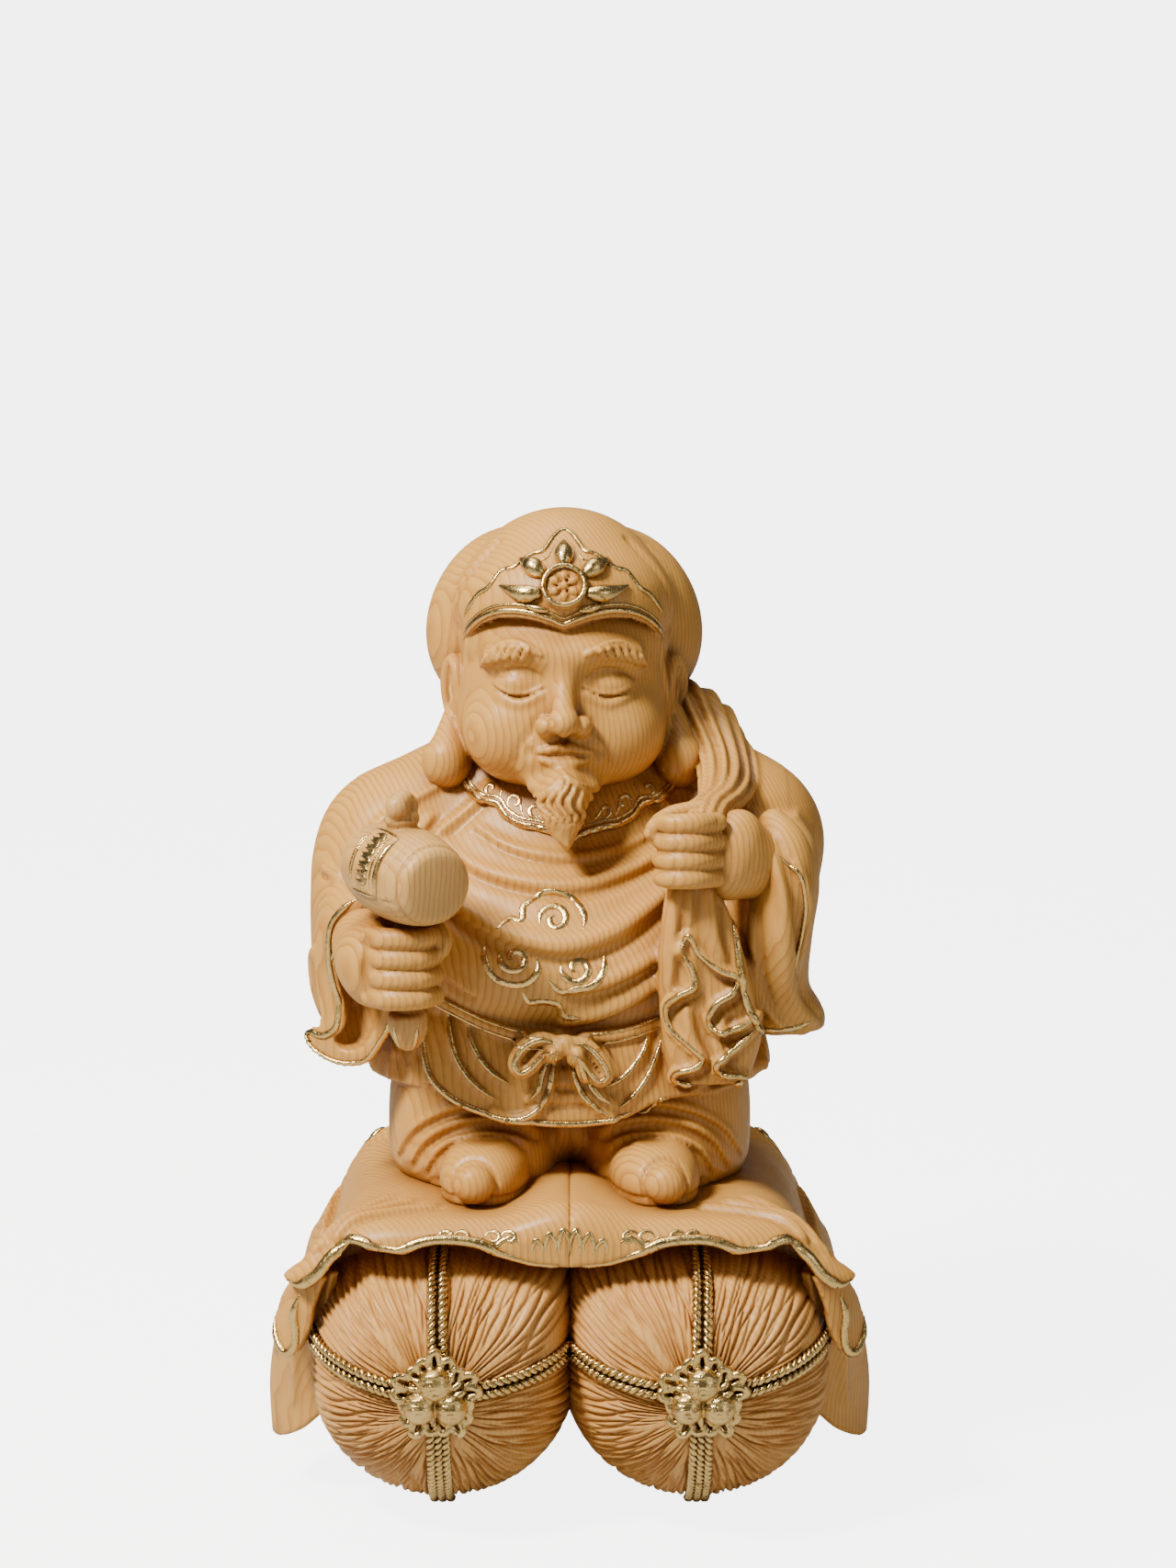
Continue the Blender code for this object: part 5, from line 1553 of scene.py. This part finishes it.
def petals(clay):
    """Five gilt petals about the boss, as their own clay."""
    gilt = Clay((-17, -36, 184), (17, -12, 206), 0.3)
    shapes = [[(0, 197.3, 1.4), (0, 198.6, 2.1), (0, 199.9, 1.5), (0, 201.6, 0.3)]]
    for side in (-1, 1):
        shapes.append([(side * 4.9, 195.0, 1.3), (side * 6.2, 195.9, 2.1), (side * 7.5, 196.7, 1.5),
                       (side * 9.4, 197.8, 0.3)])
        shapes.append([(side * 5.7, 190.8, 1.3), (side * 7.7, 190.6, 1.9), (side * 9.9, 191.0, 1.5),
                       (side * 13.6, 192.2, 0.25)])
        shapes.append([(side * 3.6, 187.2, 0.5), (side * 5.6, 187.6, 0.8), (side * 8.0, 188.2, 0.3)])
    for shape in shapes:
        rows = spline([(x, -60, z, r) for x, z, r in shape], 0.4)
        laid = clay.onto(rows, FRONT, sink=-0.45)
        gilt.stroke(laid, 0.3)
    return gilt


def build_head():
    """Head, beard and cap, carved from one block, and the cap's gold."""
    clay = Clay((-35, -41, 134), (35, 35, 210.5), 0.42)
    skull(clay)
    eyes(clay)
    nose(clay)
    mouth(clay)
    eyebrows(clay)
    ears(clay)
    beard(clay)
    cap(clay)
    ring_of_gold = medallion(clay)
    gilt = petals(clay)
    head = clay.mesh("head_carving", HEAD_ORIGIN)
    dress(head, WOOD)
    finish_piece(head, "figure", "head")
    lines = gathered("cap_gold", cap_gold(clay) + [ring_of_gold], HEAD_ORIGIN)
    leaves = gilt.mesh("cap_petals", HEAD_ORIGIN)
    for piece in (lines, leaves):
        dress(piece, GOLD)
        finish_piece(piece, "figure", "head")


# ---- figure: hands, sack and hidden pegs -------------------------------------------------------------------

FINGER_SWELL = (1.0, 1.06, 1.0, 0.92)       # a finger's thickness from its knuckle to its tip


def fingers(clay, paths, size, blend):
    """One stroke for each finger, from its knuckle to its tip."""
    for path in paths:
        clay.stroke(spline([(*p, size * swell) for p, swell in zip(path, FINGER_SWELL)], 0.5), blend)


def finger_creases(clay, heights, x, bent_x):
    """A fine cut across the joint of each finger."""
    for z in heights:
        bend = clay.onto(spline([(x, -70, z + 1.7), (bent_x, -70, z), (x, -70, z - 1.7)], 0.4), FRONT)
        clay.stroke(tapered(bend, 0.22), 0.3, cut=True)


def right_fist():
    """The fist round the mallet's handle, four fingers stacked and the thumb over the top."""
    clay = Clay((-50, -60, 101), (-20, -26, 130), 0.4)
    clay.stroke([(-42, -28, 117.5, 8.4), (-40.5, -40, 116, 8.2)], 0)
    clay.lump((-39.6, -45.5, 115.6), (7.6, 8.0, 9.0), blend=3)
    heights = (122.3, 118.2, 114.1, 110.0)
    fingers(clay, [[(-40.2, -50.8, z), (-36.4, -54.0, z), (-30.4, -54.0, z + 0.1), (-27.4, -50.4, z + 0.1)]
                   for z in heights], 2.2, 0.35)
    clay.stroke(spline([(-38, -44, 122.6, 3.2), (-32, -45.5, 123.8, 2.9), (-27.4, -48.2, 123.6, 2.3),
                        (-25.6, -50.8, 121.6, 1.9), (-25.8, -51.4, 119.6, 1.5)], 0.6), 0.8)
    clay.stroke(tapered(spline([(-40.6, -53.6, 107.6), (-41.6, -52.8, 115), (-41, -52.8, 123.4)], 0.6), 0.5),
                0.9, cut=True)
    finger_creases(clay, heights, -31.0, -30.7)
    nail = clay.onto(spline([(-26.6, -70, 122.2), (-25.6, -70, 121.0), (-26.2, -70, 119.8)], 0.3), FRONT)
    clay.stroke(tapered(nail, 0.25), 0.2, cut=True)
    return clay


def left_fist():
    """The fist that gathers the sack's neck in front of the shoulder."""
    clay = Clay((12, -57, 122), (50, -22, 153), 0.4)
    clay.stroke([(43, -26, 133, 8.4), (37.6, -36, 135.5, 7.8)], 0)
    clay.lump((33.6, -40.6, 137.6), (6.6, 6.4, 9.6), (0, 14, 0), 3)
    heights = (145.0, 141.2, 137.4, 133.7)
    fingers(clay, [[(30.0, -45.8, z), (25.6, -49.2, z + 0.3), (20.8, -48.8, z + 0.1), (18.6, -45.4, z)]
                   for z in heights], 2.05, 0.35)
    clay.stroke(spline([(27, -42, 146.6, 2.6), (21, -43.6, 146, 2.2), (17.6, -45.2, 144.2, 1.8),
                        (16.6, -45.8, 142.8, 1.5)], 0.6), 0.6)
    clay.stroke(tapered(spline([(30.6, -49.0, 131.6), (30.9, -48.6, 138), (30.2, -48.6, 146.4)], 0.6), 0.5),
                0.9, cut=True)
    finger_creases(clay, heights, 21.6, 21.3)
    return clay


def build_hands():
    """Both fists as separate blocks."""
    for clay, side in ((right_fist(), "right"), (left_fist(), "left")):
        hand = clay.mesh(f"{side}_fist", FIGURE_ORIGIN)
        dress(hand, WOOD)
        finish_piece(hand, "figure", f"{side}_hand")


def build_sack():
    """The full sack on the back, its cloth drawn up into folds towards the neck."""
    clay = Clay((-36, 16, 80), (40, 50, 172), 0.65)
    clay.lump((3, 25, 112), (29.5, 19.5, 28.5), blend=0)
    clay.lump((8, 24, 135), (20.5, 15.5, 18.5), blend=6)
    clay.lump((17, 22, 152), (12.5, 11, 13), blend=5)
    mouth_end = np.array([24, 16, 164.0])
    for k in range(15):
        angle = math.radians(-88 + 176 * k / 14)
        side = np.array([math.sin(angle), math.cos(angle)])
        low = np.array([3 + 26 * side[0], 26 + 17 * side[1], 112 - 8 * (k % 2)])
        middle = np.array([9 + 18 * side[0], 25 + 14 * side[1], 138])
        upper = np.array([17 + 10.5 * side[0], 23 + 9.5 * side[1], 153])
        path = clay.settled(spline([low, middle, upper, mouth_end + (6 * side[0], 5 * side[1], 0)], 1.2))
        clay.stroke(tapered(path, 1.5 if k % 2 else 1.1), blend=2.2)
        groove = clay.settled(spline([low + (3 * side[1], -2 * side[0], 4),
                                      middle + (2.2 * side[1], -1.6 * side[0], 0),
                                      upper + (1.2 * side[1], -1.0 * side[0], 0)], 1.2))
        clay.stroke(tapered(groove, 0.9), blend=1.8, cut=True)
    clay.trim(lambda x, y, z: y - 18, (-36, 16, 80), (40, 20, 172))
    sack = clay.mesh("sack_carving", FIGURE_ORIGIN)
    dress(sack, WOOD)
    finish_piece(sack, "figure", "sack")


HIDDEN_PEGS = ["base_dowel_front", "base_dowel_rear", "neck_peg", "sack_dowel", "wrist_dowel_left",
               "wrist_dowel_right", "foot_peg_left", "foot_peg_right"]
HIDDEN_PEGS += [f"side_dowel_{side}_{level}" for side in ("left", "right") for level in ("upper", "lower")]


def dress_pegs():
    """The pegs and dowels inside the joints keep their CAD shape and show bare peg wood."""
    for name in HIDDEN_PEGS:
        dress(frame["nodes"][name], PEG_WOOD)


# ---- mallet ------------------------------------------------------------------------------------------------

BARREL_RADIUS = 9.8
BARREL_HEADING = 31.0       # degrees from straight ahead towards the middle
SEAT_DROP = 9.0             # the handle's shoulder below the barrel's middle
TENON_RADIUS = 1.85         # the handle's end that enters the barrel
TENON_LENGTH = 8.0
BORE_CLEARANCE = 0.2        # the barrel's bore is wider than the tenon by this on every side
HANDLE_RADIUS = 2.3
SHOULDER_HEIGHT = 24.1      # the handle's shoulder above its own foot
BARREL_PROFILE = [(-14.5, 6.4), (-14.0, 7.3), (-12.6, 8.0), (-9, 9.0), (-4, 9.75), (0, 9.9), (4, 9.75),
                  (9, 9.0), (12.6, 8.0), (14.0, 7.3), (14.5, 6.4)]      # (along the barrel, radius)


def turn_joint():
    """The frame's joint that turns the mallet about its handle."""
    return next(joint for joint in frame["joints"] if joint["name"] == "mallet_turn")


def mallet_placing():
    """Where the barrel lies and how it turns: its own -Y is the struck face and +Z runs up the handle."""
    up = Vector(turn_joint()["axis"]).normalized()
    heading = math.radians(BARREL_HEADING)
    ahead = Vector((math.sin(heading), -math.cos(heading), 0))
    ahead = (ahead - up * ahead.dot(up)).normalized()
    across = (-ahead).cross(up)
    turn = Matrix((across, -ahead, up)).transposed().to_4x4()
    return Matrix.Translation(Vector(middle_of("mallet_barrel")) * MM) @ turn


def on_barrel(clay, rows):
    """Points given as (distance along the barrel, degrees from the top towards its outer side)."""
    out = []
    for along, degrees in rows:
        angle = math.radians(degrees)
        out.append((-BARREL_RADIUS * math.sin(angle), along, BARREL_RADIUS * math.cos(angle)))
    return clay.settled(spline(out, 0.5))


def mallet_barrel_clay():
    """The barrel with its turned rings, raised panel, and the bore for the handle's tenon."""
    clay = Clay((-12, -17, -12), (12, 17, 19), 0.35)
    rings = [ring((0, y, 0), (r, 0, 0), (0, 0, r), 60) for y, r in BARREL_PROFILE]
    clay.skin(loft(rings, 72, 4), 0)
    clay.lump((0, -14.2, 0), (6.4, 0.9, 6.4), blend=0.5)
    for along, size in ((-12.2, 0.4), (-9.0, 0.25), (12.2, 0.4)):
        radius = np.interp(along, [row[0] for row in BARREL_PROFILE], [row[1] for row in BARREL_PROFILE])
        loop = ring((0, along, 0), (radius, 0, 0), (0, 0, radius), 90)
        loop = np.vstack([loop, loop[:1]])
        clay.stroke(even(loop, size), 0.2, cut=True)
    seam = on_barrel(clay, [(-12, 112), (-9, 110), (-6, 108)])
    clay.stroke(tapered(seam, 0.25), 0.2, cut=True)

    def panel(x, y, z):
        degrees = np.degrees(np.arctan2(-x, z))
        inside = np.clip((degrees - 22) * 0.4, 0, 1) * np.clip((106 - degrees) * 0.4, 0, 1)
        return 0.45 * inside * np.clip((y + 6.2) * 2.5, 0, 1) * np.clip((4.6 - y) * 2.5, 0, 1)

    clay.push(panel, (-12, -8, -8), (1, 6, 12))
    bore = TENON_RADIUS + BORE_CLEARANCE
    seat = HANDLE_RADIUS + BORE_CLEARANCE
    clay.stroke([(0, 0, -14, seat), (0, 0, -SEAT_DROP - HANDLE_RADIUS, seat)], 0, cut=True)
    clay.stroke([(0, 0, -14, bore), (0, 0, TENON_LENGTH - SEAT_DROP - TENON_RADIUS, bore)], 0, cut=True)
    return clay


def finial_clay(clay):
    """A carved bud on top of the barrel."""
    clay.lump((0, 0, 11.4), (3.6, 3.4, 2.6), blend=1.0)
    clay.lump((-1.5, -1.2, 14.0), (2.5, 2.4, 2.7), blend=0.4)
    clay.lump((1.6, 0.6, 13.8), (2.3, 2.3, 2.5), blend=0.4)
    clay.lump((-0.4, 1.6, 14.4), (2.2, 2.0, 2.2), blend=0.4)
    clay.lump((0.1, -0.2, 15.6), (2.2, 2.0, 1.7), blend=0.5)
    for points in ([(-3.2, -2.8, 11.2), (-1.0, -3.6, 12.2), (1.8, -2.6, 11.4)],
                   [(-0.2, -3.6, 15.4), (0.4, -3.4, 13.4), (0.2, -3.6, 11.6)]):
        path = clay.settled(spline(points, 0.4))
        clay.stroke(tapered(path, 0.35), 0.5, cut=True)


def barrel_gold(clay):
    """Gold edges and a row of curls on the barrel's raised panel."""
    pieces = []
    edge = [(-6.0, 24), (-6.0, 50), (-6.0, 78), (-6.0, 104)]
    far = [(4.4, 24), (4.4, 50), (4.4, 78), (4.4, 104)]
    foot = [(-6.0, 104), (-3, 104.5), (0.6, 104), (4.4, 104)]
    head = [(-6.0, 24), (0, 23), (4.4, 24)]
    for rows, width in ((edge, 0.6), (far, 0.6), (foot, 0.6), (head, 0.5)):
        path = on_barrel(clay, rows)
        pieces.append(bead(path, clay.normals(path), width, 0.3))
    for along in (-4.4, 3.0):
        path = on_barrel(clay, [(along, 26), (along, 60), (along, 96)])
        pieces.append(bead(path, clay.normals(path), 0.24, 0.22))
    for k in range(6):
        middle = 34 + 10.5 * k
        loop = [(-0.8 + 2.1 * math.cos(a), middle + 4.0 * math.sin(a)) for a in np.linspace(0.5, 5.6, 14)]
        path = on_barrel(clay, loop)
        pieces.append(bead(path, clay.normals(path), 0.68, 0.3))
    for along in (-3.2, -1.9, -0.6, 0.7, 2.0):
        path = on_barrel(clay, [(along, 96.5), (along, 99), (along, 101.5)])
        pieces.append(bead(path, clay.normals(path), 0.5, 0.18))
    return pieces


def handle_clay():
    """The handle, with a bud-shaped pommel below the fist, about the handle's own foot."""
    clay = Clay((-6.5, -6.5, -7.5), (6.5, 6.5, 34), 0.33)
    shoulder = SHOULDER_HEIGHT - HANDLE_RADIUS
    clay.stroke([(0, 0, 0, HANDLE_RADIUS), (0, 0, shoulder, HANDLE_RADIUS)], 0)
    tenon_top = SHOULDER_HEIGHT + TENON_LENGTH - TENON_RADIUS
    clay.stroke([(0, 0, shoulder, TENON_RADIUS), (0, 0, tenon_top, TENON_RADIUS)], 0)
    profile = [(4.2, 2.4), (3.6, 3.9), (1.5, 4.1), (-0.6, 3.7), (-2.4, 2.9), (-3.6, 1.9), (-4.1, 0.9)]
    clay.skin(loft([ring((0, 0, z), (r, 0, 0), (0, r, 0), 40) for z, r in profile], 48, 4), 0.4)
    for k in range(5):
        angle = math.radians(-126 + 72 * k)
        out = np.array([math.cos(angle), math.sin(angle), 0])
        path = clay.settled(spline([out * 4 + (0, 0, 3.4), out * 4 + (0, 0, 1), out * 3 + (0, 0, -1.6),
                                    out * 1.4 + (0, 0, -3.6)], 0.4))
        clay.stroke(tapered(path, 0.45), 0.4, cut=True)
    return clay


def pommel_gold(clay):
    """Gold lines down the pommel's petals."""
    pieces = []
    for k in range(5):
        angle = math.radians(-90 + 72 * k)
        out = np.array([math.cos(angle), math.sin(angle), 0])
        path = clay.settled(spline([out * 3.9 + (0, 0, 2.0), out * 3.8 + (0, 0, 0), out * 2.8 + (0, 0, -2.2),
                                    out * 1.2 + (0, 0, -3.8)], 0.4))
        pieces.append(bead(path, clay.normals(path), 0.5, 0.25))
    return pieces


def build_mallet():
    """Barrel and handle, turned to the frame's own turning axis."""
    placing = mallet_placing()
    barrel = mallet_barrel_clay()
    finial_clay(barrel)
    wood = barrel.mesh("mallet_barrel_carving", BASE_ORIGIN)
    dress(wood, PALE_WOOD)
    gold = gathered("mallet_barrel_gold", barrel_gold(barrel), BASE_ORIGIN)
    dress(gold, GOLD)
    for piece in (wood, gold):
        piece.data.transform(placing)
        finish_piece(piece, "mallet_head", "mallet_barrel", "mallet_finial")
    foot = Vector(turn_joint()["pos_m"])
    handle = handle_clay()
    wood = handle.mesh("mallet_handle_carving", BASE_ORIGIN)
    dress(wood, PALE_WOOD)
    gold = gathered("pommel_gold", pommel_gold(handle), BASE_ORIGIN)
    dress(gold, GOLD)
    turn = placing.to_3x3().to_4x4()
    for piece in (wood, gold):
        piece.data.transform(Matrix.Translation(foot) @ turn)
        finish_piece(piece, "mallet_handle", "mallet_handle")


# ---- stage -------------------------------------------------------------------------------------------------

BACKDROP_GLOW = 5.0     # light only the camera sees, so that the paper stays pale far from the lamps
AMBIENT = 0.09
AIM = (0, 0, 0.11)      # metres: where the lamps point
SWEEP = [(-4.0, 0.0), (-1.0, 0.0), (0.3, 0.0), (0.7, 0.02), (1.1, 0.09), (1.5, 0.24), (1.85, 0.5),
         (2.1, 0.9), (2.2, 1.5), (2.2, 3.0)]


def backdrop():
    """A seamless pale sweep: floor, curve and wall, as (y, z) in metres stretched sideways."""
    rows = spline([(y, z, 0) for y, z in SWEEP], 0.05)
    points, faces = [], []
    for y, z, _ in rows:
        points += [(-4, y, z), (4, y, z)]
    for k in range(len(rows) - 1):
        faces.append((2 * k, 2 * k + 1, 2 * k + 3, 2 * k + 2))
    sweep = mesh_object("backdrop", np.array(points) / MM, faces)
    look = Nodes("backdrop_paper")
    place = look.node("ShaderNodeTexCoord", 3)
    tint = look.mix(look.noise(place, 9, 2), (0.50, 0.50, 0.495, 1), (0.46, 0.46, 0.455, 1))
    look.put(look.shader.inputs["Base Color"], tint)
    look.put(look.shader.inputs["Roughness"], 0.9)
    seen = look.node("ShaderNodeLightPath", 0)
    look.put(look.shader.inputs["Emission Color"], (1, 1, 1, 1))
    look.put(look.shader.inputs["Emission Strength"], look.math("MULTIPLY", seen, BACKDROP_GLOW))
    dress(sweep, look.material)


def stage():
    """A plain pale sweep, and soft light from the front and both sides."""
    backdrop()
    world = bpy.data.worlds.new("surround")
    bpy.context.scene.world = world
    world.use_nodes = True
    back = world.node_tree.nodes["Background"]
    back.inputs["Color"].default_value = (1.0, 0.98, 0.95, 1)
    tree = world.node_tree
    seen = tree.nodes.new("ShaderNodeLightPath")
    strength = tree.nodes.new("ShaderNodeMath")
    strength.operation = "MULTIPLY_ADD"
    tree.links.new(seen.outputs["Is Camera Ray"], strength.inputs[0])
    strength.inputs[1].default_value = BACKDROP_GLOW
    strength.inputs[2].default_value = AMBIENT
    tree.links.new(strength.outputs[0], back.inputs["Strength"])
    lamp("key_light", (-0.48, -0.42, 0.84), 0.20, 21.0, (1.0, 0.95, 0.84))
    lamp("window_light", (0.62, -0.60, 0.40), 0.30, 1.1, (1.0, 0.98, 0.90))
    lamp("top_light", (-0.1, 0.10, 0.95), 0.4, 3.2, (1.0, 0.95, 0.86))


def lamp(name, place, size, watts, colour):
    """A square soft light aimed at the figure's middle."""
    light = bpy.data.lights.new(name, "AREA")
    light.size = size
    light.energy = watts
    light.color = colour
    obj = bpy.data.objects.new(name, light)
    obj.location = place
    aim = Vector(AIM) - obj.location
    obj.rotation_euler = aim.to_track_quat("-Z", "Y").to_euler()
    bpy.context.scene.collection.objects.link(obj)


CAMERA_PLACE = (0.0, -0.587, 0.218)
CAMERA_DOWN = 6.7       # degrees below level
CAMERA_LENS = 63.0
CAMERA_SHIFT = 0.0117


def camera():
    """The view the photo was taken from."""
    data = bpy.data.cameras.new("camera")
    data.lens = CAMERA_LENS
    data.sensor_width = 36.0
    data.shift_x = CAMERA_SHIFT
    data.clip_start = 0.01
    obj = bpy.data.objects.new("camera", data)
    obj.location = CAMERA_PLACE
    obj.rotation_euler = (math.radians(90 - CAMERA_DOWN), 0, 0)
    bpy.context.scene.collection.objects.link(obj)
    bpy.context.scene.camera = obj


def main():
    """Builds every piece."""
    build_base()
    build_robe()
    build_head()
    build_hands()
    build_sack()
    build_mallet()
    dress_pegs()
    stage()
    camera()


main()
